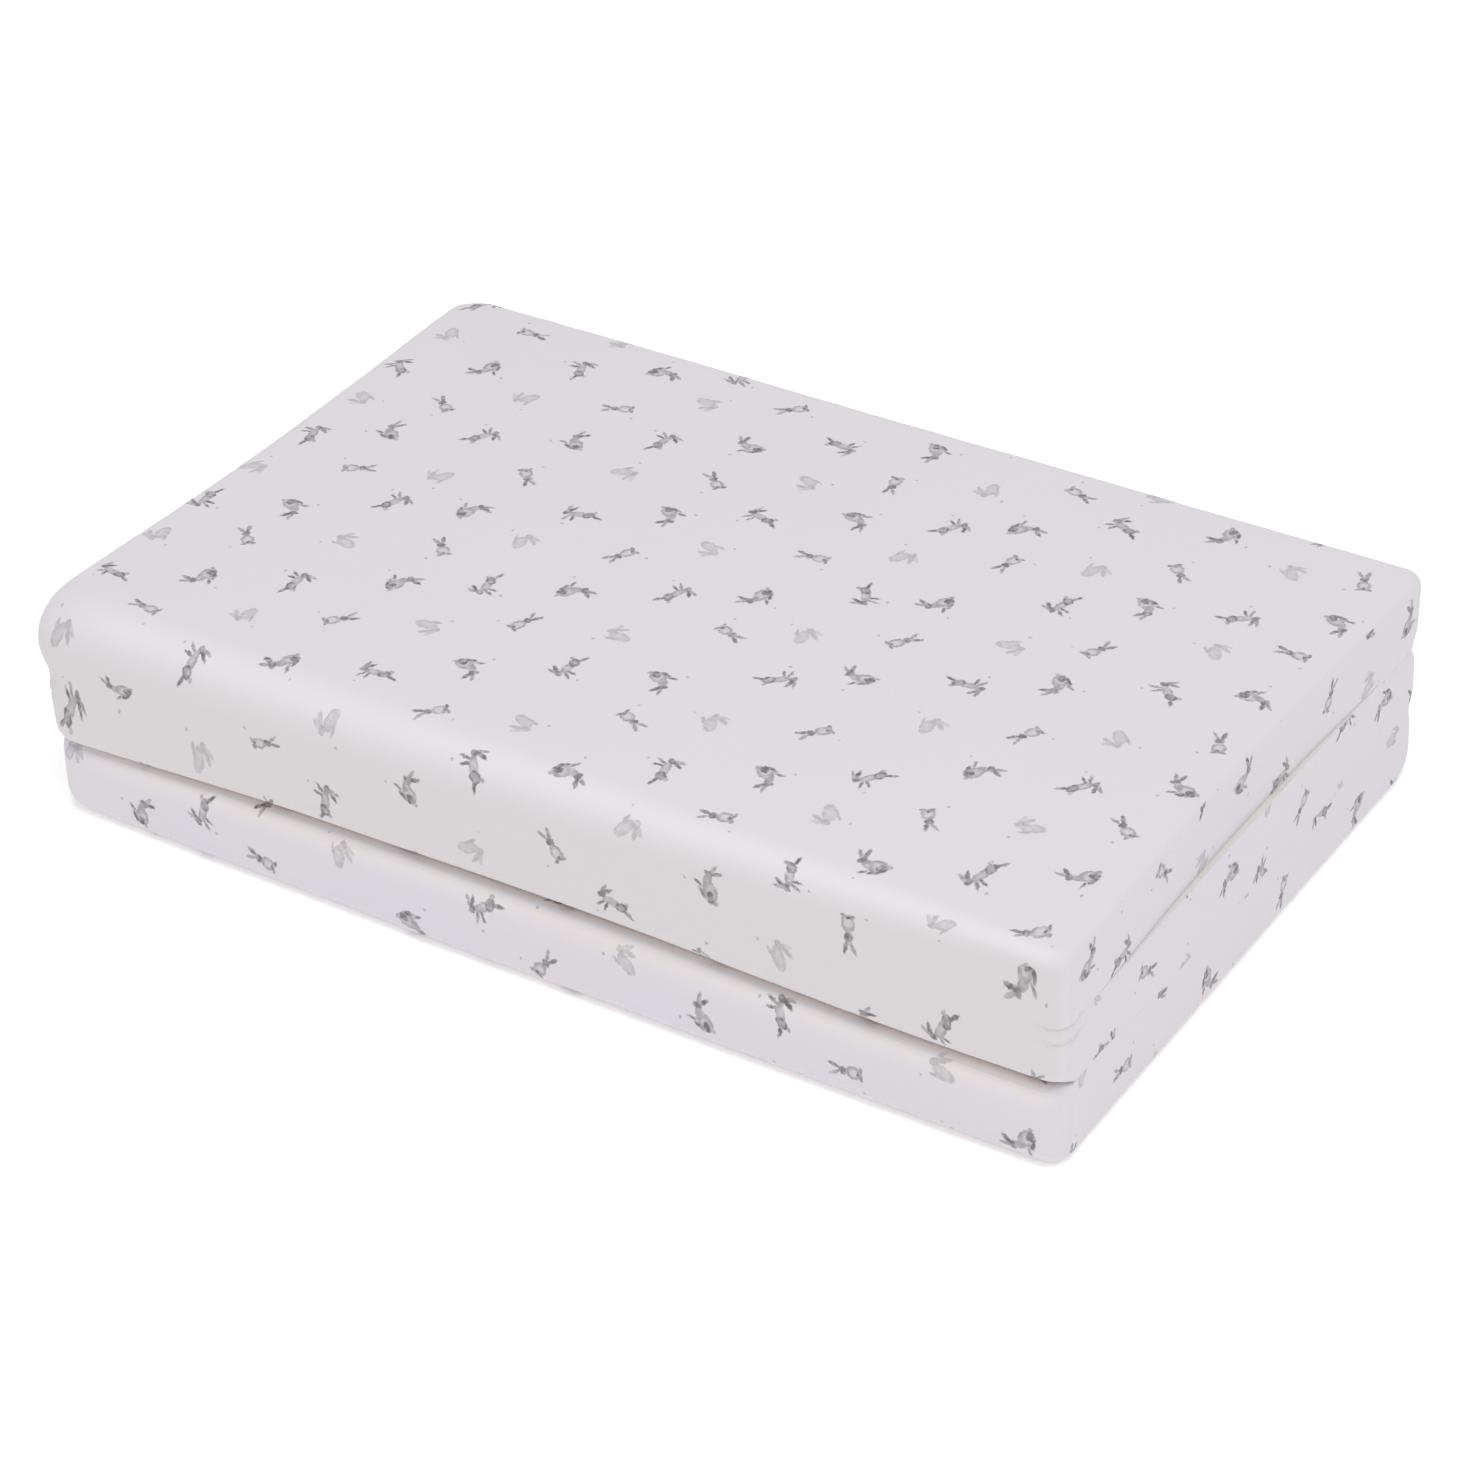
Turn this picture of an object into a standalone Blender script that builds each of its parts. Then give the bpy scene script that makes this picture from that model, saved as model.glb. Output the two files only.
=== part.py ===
"""A travel mattress for a cot, folded in three. Metres, X along its width, Y to the back, Z up.

The pad is one filled form with a Z section: the top and middle panels are joined by the
front fold, the middle and bottom ones by the back fold. Border strips close the sides of
each panel and the two free ends.
"""

import math
from typing import NamedTuple

import bmesh
import bpy

# Driving sizes
WIDTH = 0.600
DEPTH = 0.3915
PANEL = 0.0405
CROWN = 0.0015
FRONT_BOW = 0.0025

# The pad's section, seen along X
LOW_SLIT = 0.0010
HIGH_SLIT = 0.0026
FOLD_WEB = 0.036
BACK_FOLD_HIGH_RADIUS = 0.018
BACK_FOLD_LOW_RADIUS = 0.016
END_LOW_RADIUS = 0.011
END_HIGH_RADIUS = 0.009
FREE_END_BACK = 0.001

# The pad's corners in plan, and the rounding of its side edges, which is slight at the slits
LEFT_CORNER_RADIUS = 0.022
RIGHT_CORNER_RADIUS = 0.012
SIDE_EDGE_RADIUS = 0.0065
SLIT_ROUNDING = 0.15

# The crease at mid-height of each fold, which deepens towards the sides
CREASE_DEPTH = 0.0045
CREASE_REACH = 0.055
CREASE_HALF_HEIGHT = 0.009

# Border strips, set into a rebate of the pad
BORDER = 0.002
GAP = 0.0004
SEAM_FROM_SIDE = 0.0012
REBATE_FROM_SIDE = 0.0032
SEAM_CLEARANCE = 0.0003
BORDER_BULGE_WIDTH = 0.0045
REBATE_ANGLE = 52
BORDER_ANGLE = 48

# Points on the curves
ARC_STEPS = 5
BAND_STEPS = 3
RUN_LINES = 9
FINEST_RADIUS = 0.001

HALF_WIDTH = WIDTH / 2
HALF_DEPTH = DEPTH / 2
HEIGHT = 3 * PANEL

# Lines across the panels, where the drawn-in sides change direction
LINE_REACH = HALF_DEPTH - FOLD_WEB - 0.004
LINES = [LINE_REACH * (2 * i / (RUN_LINES - 1) - 1) for i in range(RUN_LINES)]

# How far each panel's sides are drawn in at its front face, behind the fold, at the
# middle and at the back. The left front corner of the top panel stands proud instead.
DRAWN_IN = {
    "top_left": {"face": -0.0050, "front": 0.0050, "middle": 0.0085, "back": 0.0035},
    "top_right": {"face": 0.0, "front": 0.0010, "middle": 0.0070, "back": 0.0020},
    "middle_left": {"face": 0.0010, "front": 0.0040, "middle": 0.0030, "back": 0.0025},
    "middle_right": {"face": 0.0, "front": 0.0010, "middle": 0.0025, "back": 0.0025},
    "bottom_left": {"face": 0.0055, "front": 0.0050, "middle": 0.0030, "back": 0.0025},
    "bottom_right": {"face": 0.0, "front": 0.0005, "middle": 0.0015, "back": 0.0025},
}
# Half the height over which the front fold's sides pass from one panel's line to the next
FOLD_BLEND = 0.012

# The lower lip of the front fold, which rolls up from the bottom panel to the right
LIP = (
    {"x": -0.300, "radius": 0.006},
    {"x": -0.240, "radius": 0.008},
    {"x": -0.170, "radius": 0.013},
    {"x": -0.060, "radius": 0.019},
    {"x": 0.120, "radius": 0.020},
    {"x": 0.300, "radius": 0.017},
)

# The upper edge of the front fold, which is fuller to the left
UPPER_EDGE = (
    {"x": -0.300, "radius": 0.027},
    {"x": -0.180, "radius": 0.025},
    {"x": 0.000, "radius": 0.022},
    {"x": 0.170, "radius": 0.017},
    {"x": 0.260, "radius": 0.012},
    {"x": 0.300, "radius": 0.0095},
)

# Sections along X between the rounded sides
MIDDLE_SECTIONS = (-0.240, -0.170, -0.115, -0.060, 0.0, 0.060, 0.120, 0.180, 0.240)
# Sections round each corner, as shares of the way from its start to the seam
CORNER_SHARES = (0.0, 0.44, 0.79, 1.0)

CLOTH_WHITE = (0.80, 0.77, 0.79, 1.0)
BORDER_WHITE = (0.77, 0.74, 0.78, 1.0)
CLOTH_ROUGHNESS = 0.85


def clear_scene():
    """Remove what the startup file holds."""
    for old in list(bpy.data.objects):
        bpy.data.objects.remove(old, do_unlink=True)


def interpolate(rows, key, value, position):
    """Read a short table between its rows."""
    if position <= rows[0][key]:
        return rows[0][value]
    for low, high in zip(rows, rows[1:]):
        if position <= high[key]:
            share = (position - low[key]) / (high[key] - low[key])
            return low[value] + share * (high[value] - low[value])
    return rows[-1][value]


def drawn_in(panel, side, y):
    """How far one side of a panel comes in at this depth, straight between the lines."""
    reach = DRAWN_IN[panel + "_" + side]
    rows = [{"y": -HALF_DEPTH, "in": reach["face"]}]
    for line in LINES:
        share = (line + LINE_REACH) / (2 * LINE_REACH)
        base = reach["front"] + share * (reach["back"] - reach["front"])
        mid = (reach["front"] + reach["back"]) / 2
        rows.append({"y": line, "in": base + math.sin(math.pi * share) * (reach["middle"] - mid)})
    return interpolate(rows, "y", "in", y)


def drawn_in_at(side, y, z):
    """How far this point's side comes in, passing smoothly over the front fold."""
    if z < PANEL:
        return drawn_in("bottom", side, y)
    top = drawn_in("top", side, y)
    middle = drawn_in("middle", side, y)
    if y > FOLD_WEB - HALF_DEPTH:
        return top if z > 2 * PANEL else middle
    share = min(1.0, max(0.0, 0.5 + (z - 2 * PANEL) / (2 * FOLD_BLEND)))
    return middle + (top - middle) * share


def settled(point):
    """Draw the sides in, bow the front, raise the top's crown and centre the depth."""
    x, y, z = point
    side = "right" if x > 0 else "left"
    narrow = 1 - drawn_in_at(side, y, z) / HALF_WIDTH
    lift = max(0.0, (z - 2 * PANEL - HIGH_SLIT) / (PANEL - HIGH_SLIT))
    across = 1 - (x / HALF_WIDTH) ** 2
    along = 1 - (y / HALF_DEPTH) ** 2
    bow = FRONT_BOW * (0.5 + max(0.0, across) * min(0.0, y) / HALF_DEPTH)
    return (x * narrow, y + bow, z + CROWN * lift * max(0.0, across) * max(0.0, along))


def arc(centre_y, centre_z, radius, start, end, steps):
    """Points on a round corner, angles in degrees from +Y towards +Z."""
    points = []
    for i in range(steps + 1):
        angle = math.radians(start + (end - start) * i / steps)
        points.append((centre_y + radius * math.cos(angle), centre_z + radius * math.sin(angle)))
    return points


def end_band(face, facing, low, high, depth, seam=REBATE_ANGLE):
    """The part of a free end that its border covers, set in by depth, from seam to seam."""
    inner_low = END_LOW_RADIUS - depth
    inner_high = END_HIGH_RADIUS - depth
    below = arc(END_LOW_RADIUS, low + END_LOW_RADIUS, inner_low, 180 + seam, 180, BAND_STEPS)
    above = arc(END_HIGH_RADIUS, high - END_HIGH_RADIUS, inner_high, 180, 180 - seam, BAND_STEPS)
    return [(face + facing * -y, z) for y, z in below + above]


def free_end(face, facing, low, high):
    """A free end of a panel from its underside to its top, with the rebate for its border."""
    low_end = 180 + REBATE_ANGLE
    high_end = 180 - REBATE_ANGLE
    rise = arc(END_LOW_RADIUS, low + END_LOW_RADIUS, END_LOW_RADIUS, 270, low_end, 2)
    roll = arc(END_HIGH_RADIUS, high - END_HIGH_RADIUS, END_HIGH_RADIUS, high_end, 90, 2)
    rebate = end_band(face, facing, low, high, BORDER + GAP)
    return (
        [(face + facing * -y, z) for y, z in rise]
        + rebate
        + [(face + facing * -y, z) for y, z in roll]
    )


def crease(x):
    """How deep the folds are creased at x."""
    from_side = HALF_WIDTH - abs(x)
    return CREASE_DEPTH * max(0.0, 1 - from_side / CREASE_REACH) ** 2


def creased_fold(face, facing, middle, depth):
    """Three points up a fold's face, the middle one pressed in."""
    shoulder = depth / 4
    return [
        (face - facing * shoulder, middle - CREASE_HALF_HEIGHT),
        (face - facing * depth, middle),
        (face - facing * shoulder, middle + CREASE_HALF_HEIGHT),
    ]


def pad_section(x, ends_in, edges_in, slit_in):
    """The pad's outline at x, with its ends, its faces and its slits set in by these sizes."""
    front = -HALF_DEPTH + ends_in
    back = HALF_DEPTH - ends_in
    bottom = edges_in
    top = HEIGHT - edges_in
    half_low = LOW_SLIT / 2 + slit_in
    half_high = HIGH_SLIT / 2 + slit_in
    web = FOLD_WEB - slit_in
    low_slit = PANEL
    high_slit = 2 * PANEL
    lip = max(FINEST_RADIUS, interpolate(LIP, "x", "radius", x) - edges_in)
    front_high = interpolate(UPPER_EDGE, "x", "radius", x) - edges_in
    back_high = BACK_FOLD_HIGH_RADIUS - edges_in
    back_low = BACK_FOLD_LOW_RADIUS - edges_in
    there = LINES
    home = LINES[::-1]
    outline = free_end(front, -1, bottom, low_slit - half_low)
    outline += [(y, low_slit - half_low) for y in there]
    outline += arc(HALF_DEPTH - web, low_slit, half_low, -90, 90, 4)
    outline += [(y, low_slit + half_low) for y in home]
    outline += arc(front + lip, low_slit + half_low + lip, lip, 270, 180, ARC_STEPS)
    outline += creased_fold(front, -1, high_slit, crease(x))
    outline += arc(front + front_high, top - front_high, front_high, 180, 90, ARC_STEPS)
    outline += [(y, top) for y in there]
    outline += free_end(back - FREE_END_BACK, 1, high_slit + half_high, top)[::-1]
    outline += [(y, high_slit + half_high) for y in home]
    outline += arc(-HALF_DEPTH + web, high_slit, half_high, 90, 270, 4)
    outline += [(y, high_slit - half_high) for y in there]
    outline += arc(back - back_high, high_slit - half_high - back_high, back_high, 90, 0, ARC_STEPS)
    outline += creased_fold(back, 1, low_slit, crease(x))[::-1]
    outline += arc(back - back_low, bottom + back_low, back_low, 0, -90, ARC_STEPS)
    outline += [(y, bottom) for y in home]
    return outline


def rounded_off(radius, from_side):
    """How far a round edge has come in at this distance from the side."""
    return radius - math.sqrt(radius**2 - max(0.0, radius - from_side) ** 2)


def corner_insets(x, extra=0.0):
    """How far the ends, the faces and the slits come in at x, with extra added to each."""
    from_side = HALF_WIDTH - abs(x)
    corner = RIGHT_CORNER_RADIUS if x > 0 else LEFT_CORNER_RADIUS
    edge = rounded_off(SIDE_EDGE_RADIUS, from_side)
    return rounded_off(corner, from_side) + extra, edge + extra, SLIT_ROUNDING * edge + extra


def corner_sections(radius):
    """The x of each section round a right-hand corner of this radius."""
    start = HALF_WIDTH - radius
    reach = radius - SEAM_FROM_SIDE
    return [start + reach * share for share in CORNER_SHARES]


def sections_along_width():
    """The x of each section from the left seam to the right one."""
    left = [-x for x in reversed(corner_sections(LEFT_CORNER_RADIUS))]
    return left + list(MIDDLE_SECTIONS) + corner_sections(RIGHT_CORNER_RADIUS)


def add_ring(bm, x, outline):
    """Add one section's points."""
    return [bm.verts.new((x, y, z)) for y, z in outline]


def loft(bm, rings):
    """Join unlike sections, point by point, and close both ends."""
    for near, far in zip(rings, rings[1:]):
        for i in range(len(near)):
            following = (i + 1) % len(near)
            bm.faces.new((near[i], near[following], far[following], far[i]))
    return [bm.faces.new(rings[0]), bm.faces.new(reversed(rings[-1]))]


def cut_at_lines(bm, faces):
    """Cut flat closing faces along the lines where the sides change direction."""
    for line in LINES:
        parts = set(faces)
        parts.update(edge for face in faces for edge in face.edges)
        parts.update(vert for face in faces for vert in face.verts)
        cut = bmesh.ops.bisect_plane(
            bm, geom=list(parts), dist=1e-6, plane_co=(0, line, 0), plane_no=(0, 1, 0)
        )
        faces = [item for item in cut["geom"] if isinstance(item, bmesh.types.BMFace)]


def make_object(name, bm, collection, colour):
    """Settle the points, and make the mesh an object with its own material."""
    for vert in bm.verts:
        vert.co = settled(vert.co)
    bmesh.ops.triangulate(bm, faces=bm.faces)
    bmesh.ops.recalc_face_normals(bm, faces=bm.faces)
    if bm.calc_volume(signed=True) < 0:
        bmesh.ops.reverse_faces(bm, faces=bm.faces)
    mesh = bpy.data.meshes.new(name)
    bm.to_mesh(mesh)
    bm.free()
    mesh.shade_smooth()
    mesh.set_sharp_from_angle(angle=math.radians(40))
    material = bpy.data.materials.new(name + "_cloth")
    material.use_nodes = True
    shader = material.node_tree.nodes["Principled BSDF"]
    shader.inputs["Base Color"].default_value = colour
    shader.inputs["Roughness"].default_value = CLOTH_ROUGHNESS
    shader.inputs["Metallic"].default_value = 0.0
    mesh.materials.append(material)
    piece = bpy.data.objects.new(name, mesh)
    collection.objects.link(piece)
    return piece


def build_pad(collection):
    """The filled pad with its two folds."""
    bm = bmesh.new()
    seam_x = HALF_WIDTH - SEAM_FROM_SIDE
    rebate_x = HALF_WIDTH - REBATE_FROM_SIDE
    left_insets = corner_insets(-seam_x, SEAM_CLEARANCE)
    right_insets = corner_insets(seam_x, SEAM_CLEARANCE)
    rings = [add_ring(bm, -rebate_x, pad_section(-rebate_x, *left_insets))]
    for x in sections_along_width():
        rings.append(add_ring(bm, x, pad_section(x, *corner_insets(x))))
    rings.append(add_ring(bm, rebate_x, pad_section(rebate_x, *right_insets)))
    cut_at_lines(bm, loft(bm, rings))
    return make_object("folded_pad", bm, collection, CLOTH_WHITE)


class Rebate(NamedTuple):
    """The shape that a side border fills at one section."""

    x: float
    front: float
    back: float
    edges_in: float
    half_low: float
    half_high: float
    web: float
    joint: float


def rebate_at(x, extra):
    """The rebate at x, with all its edges set in by extra."""
    seam_x = math.copysign(HALF_WIDTH - SEAM_FROM_SIDE, x)
    ends_in, edges_in, slit_in = corner_insets(seam_x, SEAM_CLEARANCE + extra)
    return Rebate(
        x=x,
        front=ends_in - HALF_DEPTH,
        back=HALF_DEPTH - ends_in,
        edges_in=edges_in,
        half_low=LOW_SLIT / 2 + slit_in,
        half_high=HIGH_SLIT / 2 + slit_in,
        web=FOLD_WEB - slit_in,
        joint=GAP / 2 + extra,
    )


def slit_end(centre_y, centre_z, half_slit, joint, facing, rising):
    """Points round a slit's closed end, from its face to the joint with the next border."""
    joint_angle = math.degrees(math.asin(joint / half_slit))
    points = arc(0, 0, half_slit, 90, joint_angle, BAND_STEPS)
    return [(centre_y + facing * y, centre_z + rising * z) for y, z in points]


def top_border_outline(rebate):
    """The outline of a top side border, from the joint in the front fold."""
    low = 2 * PANEL + rebate.half_high
    high = HEIGHT - rebate.edges_in
    front_high = interpolate(UPPER_EDGE, "x", "radius", rebate.x) - rebate.edges_in
    pressed, shoulder = creased_fold(rebate.front, -1, 2 * PANEL, crease(rebate.x))[1:]
    outline = [(pressed[0], 2 * PANEL + rebate.joint), shoulder]
    outline += arc(rebate.front + front_high, high - front_high, front_high, 180, 90, ARC_STEPS)
    outline += [(y, high) for y in LINES]
    outline += end_band(rebate.back - FREE_END_BACK, 1, low, high, BORDER + GAP)[::-1]
    outline += [(y, low) for y in LINES[::-1]]
    outline += slit_end(rebate.web - HALF_DEPTH, 2 * PANEL, rebate.half_high, rebate.joint, -1, 1)
    return outline


def middle_border_outline(rebate):
    """The outline of a middle side border, from the lip of the front fold."""
    low = PANEL + rebate.half_low
    high = 2 * PANEL - rebate.half_high
    lip = max(FINEST_RADIUS, interpolate(LIP, "x", "radius", rebate.x) - rebate.edges_in)
    back_high = BACK_FOLD_HIGH_RADIUS - rebate.edges_in
    front_slit = (rebate.web - HALF_DEPTH, 2 * PANEL, rebate.half_high, rebate.joint)
    back_slit = (HALF_DEPTH - rebate.web, PANEL, rebate.half_low, rebate.joint)
    outline = arc(rebate.front + lip, low + lip, lip, 270, 180, ARC_STEPS)
    shoulder, pressed = creased_fold(rebate.front, -1, 2 * PANEL, crease(rebate.x))[:2]
    outline += [shoulder, (pressed[0], 2 * PANEL - rebate.joint)]
    outline += slit_end(*front_slit, facing=-1, rising=-1)[::-1]
    outline += [(y, high) for y in LINES]
    outline += arc(rebate.back - back_high, high - back_high, back_high, 90, 0, ARC_STEPS)
    pressed, shoulder = creased_fold(rebate.back, 1, PANEL, crease(rebate.x))[1:]
    outline += [shoulder, (pressed[0], PANEL + rebate.joint)]
    outline += slit_end(*back_slit, facing=1, rising=1)[::-1]
    outline += [(y, low) for y in LINES[::-1]]
    return outline


def bottom_border_outline(rebate):
    """The outline of a bottom side border, from the free end at the front."""
    low = rebate.edges_in
    high = PANEL - rebate.half_low
    back_low = BACK_FOLD_LOW_RADIUS - rebate.edges_in
    outline = end_band(rebate.front, -1, low, high, BORDER + GAP)
    outline += [(y, high) for y in LINES]
    outline += slit_end(HALF_DEPTH - rebate.web, PANEL, rebate.half_low, rebate.joint, 1, -1)
    shoulder, pressed = creased_fold(rebate.back, 1, PANEL, crease(rebate.x))[:2]
    outline += [(pressed[0], PANEL - rebate.joint), shoulder]
    outline += arc(rebate.back - back_low, low + back_low, back_low, 0, -90, ARC_STEPS)
    outline += [(y, low) for y in LINES[::-1]]
    return outline


SIDE_BORDERS = {
    "top": top_border_outline,
    "middle": middle_border_outline,
    "bottom": bottom_border_outline,
}


def build_side_border(panel, side, collection):
    """One side's border strip: flat behind, slightly full in front."""
    bm = bmesh.new()
    steps = (
        (HALF_WIDTH - REBATE_FROM_SIDE + GAP, GAP),
        (HALF_WIDTH - SEAM_FROM_SIDE, GAP),
        (HALF_WIDTH, BORDER_BULGE_WIDTH),
    )
    rings = []
    for x, extra in steps:
        outline = SIDE_BORDERS[panel](rebate_at(side * x, extra))
        rings.append(add_ring(bm, side * x, outline))
    cut_at_lines(bm, loft(bm, rings))
    name = "border_" + panel + ("_right" if side > 0 else "_left")
    return make_object(name, bm, collection, BORDER_WHITE)


def build_end_border(name, facing, collection):
    """The border strip of a free end, which follows the end's round corners."""
    bm = bmesh.new()
    rings = []
    for x in sections_along_width():
        ends_in, edges_in, slit_in = corner_insets(x)
        if facing > 0:
            face = HALF_DEPTH - ends_in - FREE_END_BACK
            bottom = 2 * PANEL + HIGH_SLIT / 2 + slit_in
            top = HEIGHT - edges_in
        else:
            face = ends_in - HALF_DEPTH
            bottom = edges_in
            top = PANEL - LOW_SLIT / 2 - slit_in
        outer = end_band(face, facing, bottom, top, 0.0, BORDER_ANGLE)
        inner = end_band(face, facing, bottom, top, BORDER, BORDER_ANGLE)
        rings.append(add_ring(bm, x, outer + inner[::-1]))
    loft(bm, rings)
    return make_object(name, bm, collection, BORDER_WHITE)


def build_mattress():
    """All pieces, in the collection that names the object."""
    collection = bpy.data.collections.new("folding_travel_mattress")
    bpy.context.scene.collection.children.link(collection)
    build_pad(collection)
    for panel in SIDE_BORDERS:
        for side in (-1, 1):
            build_side_border(panel, side, collection)
    build_end_border("border_top_back", 1, collection)
    build_end_border("border_bottom_front", -1, collection)


clear_scene()
build_mattress()
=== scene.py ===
"""A travel mattress for a cot, folded in three: its cover, borders, print and light.

The cover is modelled as the opened mattress, a long flat box of cloth, which is then folded
in a Z: top panel, front fold, middle panel, back fold, bottom panel. Metres throughout.
"""

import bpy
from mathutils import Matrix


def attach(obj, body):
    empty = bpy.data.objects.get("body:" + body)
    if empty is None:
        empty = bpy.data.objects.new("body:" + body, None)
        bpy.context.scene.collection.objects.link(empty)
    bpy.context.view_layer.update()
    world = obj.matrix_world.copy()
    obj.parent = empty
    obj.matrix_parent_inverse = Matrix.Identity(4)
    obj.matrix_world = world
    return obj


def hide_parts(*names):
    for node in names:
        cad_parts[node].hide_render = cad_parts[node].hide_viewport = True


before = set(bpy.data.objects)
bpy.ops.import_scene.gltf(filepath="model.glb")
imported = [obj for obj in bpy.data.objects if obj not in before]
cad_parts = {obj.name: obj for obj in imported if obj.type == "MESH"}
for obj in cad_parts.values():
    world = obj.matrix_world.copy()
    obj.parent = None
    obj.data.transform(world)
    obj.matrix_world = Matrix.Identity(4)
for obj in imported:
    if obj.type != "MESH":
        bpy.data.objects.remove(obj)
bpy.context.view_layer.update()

import logging
import math
from dataclasses import dataclass
from enum import Enum, IntEnum

import bmesh
import bpy
import numpy as np
from mathutils import Matrix, Vector, noise

LOG = logging.getLogger("mattress")
MM = 0.001

Socket = bpy.types.NodeSocket
Colour = tuple[float, float, float]
Point = tuple[float, float]


class Panel(Enum):
    """The three panels, from the top of the folded block down."""

    TOP = "top"
    MIDDLE = "middle"
    BOTTOM = "bottom"


class Side(Enum):
    """The two sides of the block, with their sign along the width."""

    LEFT = -1
    RIGHT = 1


class Cloth(IntEnum):
    """The cloths of the cover, as numbers on its faces."""

    OUTER = 0
    OTHER = 1
    TOP_LEFT = 2
    MIDDLE_LEFT = 3
    BOTTOM_LEFT = 4
    TOP_RIGHT = 5
    MIDDLE_RIGHT = 6
    BOTTOM_RIGHT = 7
    BACK_END = 8
    FRONT_END = 9


@dataclass(frozen=True)
class ClothFinish:
    """Printed cotton: its ground, its painted light and shade, its print's grey and its threads."""

    name: str
    ground: Colour
    # A painted warm glow of bounced light, where the middle panel's top shows in a slit's mouth
    slit_bounce_light: Colour = (0.696, 0.658, 0.600)
    # A painted highlight along the front fold's upper edge and the front strip's top edge
    ridge_highlight: Colour = (0.731, 0.706, 0.722)
    # Painted shade on the front fold's face, a little warmer than the ground
    fold_face: Colour = (0.654, 0.625, 0.636)
    # A painted warm bounce light in the shade under the front fold's lip
    fold_shade: Colour = (0.74, 0.67, 0.655)
    print_grey: Colour = (0.115, 0.105, 0.118)
    print_strength: float = 0.92
    cooler: Colour = (0.985, 0.985, 1.0)
    warmer: Colour = (1.0, 0.99, 0.985)
    tint_scale: float = 9.0
    tint_range: tuple[float, float] = (0.35, 0.65)
    roughness: float = 0.88
    specular: float = 0.25
    sheen: float = 0.12
    sheen_roughness: float = 0.5
    thread_pitch: float = 0.0007
    weave_share: float = 0.5
    slub_share: float = 1.4
    slub_scale: float = 420.0
    weave_height: float = 0.00005
    weave_strength: float = 0.5
    soft_scale: float = 30.0
    soft_height: float = 0.0008
    soft_strength: float = 0.6


@dataclass(frozen=True)
class Blob:
    """One brush mark of a motif, an oval in millimetres and degrees in the motif's own frame."""

    x: float
    y: float
    long: float
    wide: float
    turn: float = 0.0
    tone: float = 1.0
    hollow: float = 0.0


SITTING = (
    Blob(-2.3, -0.6, 4.9, 3.6, 28, 0.66, 0.50),
    Blob(-3.9, -2.0, 2.6, 2.0, 40, 1.00),
    Blob(1.9, 1.6, 3.2, 2.1, 62, 0.62),
    Blob(3.9, 4.6, 2.3, 1.7, -22, 0.92),
    Blob(2.0, 7.8, 3.0, 1.10, 116, 1.00),
    Blob(4.7, 8.1, 2.9, 0.95, 78, 0.74),
    Blob(-7.2, -1.6, 1.3, 1.1, 0, 0.60),
    Blob(3.8, -3.0, 2.4, 0.80, -14, 0.90),
    Blob(-0.8, -4.1, 3.0, 1.00, 3, 1.00),
)

HOPPING = (
    Blob(0.3, 0.2, 5.6, 2.2, 15, 0.66, 0.35),
    Blob(-3.7, -0.9, 3.2, 2.4, -16, 0.98, 0.30),
    Blob(6.2, 2.6, 2.2, 1.6, -24, 0.90),
    Blob(3.5, 5.0, 3.2, 0.98, 146, 1.00),
    Blob(5.2, 6.1, 3.0, 0.85, 118, 0.72),
    Blob(6.4, -1.5, 3.0, 0.78, -40, 0.85),
    Blob(3.9, -2.7, 2.7, 0.75, -68, 1.00),
    Blob(-7.1, -3.4, 3.3, 0.95, 38, 1.00),
    Blob(-6.8, 1.4, 1.2, 1.0, 20, 0.60),
)

UPRIGHT = (
    Blob(0.0, -2.8, 3.2, 4.0, 0, 0.66, 0.70),
    Blob(0.1, 2.5, 2.1, 1.8, 0, 0.96),
    Blob(-1.4, 6.4, 3.0, 1.05, 106, 0.92),
    Blob(1.9, 6.2, 3.1, 0.90, 62, 0.70),
    Blob(-2.0, -6.3, 1.6, 0.85, 8, 0.90),
    Blob(1.9, -6.3, 1.6, 0.85, -8, 0.82),
    Blob(0.1, -5.0, 1.1, 0.95, 0, 1.00),
)

RESTING = (
    Blob(-0.9, -0.8, 5.6, 3.1, 8, 0.40, 0.35),
    Blob(-3.4, -1.7, 2.6, 1.9, 30, 0.28),
    Blob(4.7, 1.8, 2.3, 1.8, -20, 0.46),
    Blob(1.3, 4.4, 3.5, 1.25, 150, 0.42),
    Blob(3.6, 5.2, 3.1, 1.05, 120, 0.30),
    Blob(2.5, -3.7, 2.9, 0.85, -4, 0.46),
)

SPECK = Blob(8.6, -7.4, 0.75, 0.62, 20, 0.50)


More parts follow.
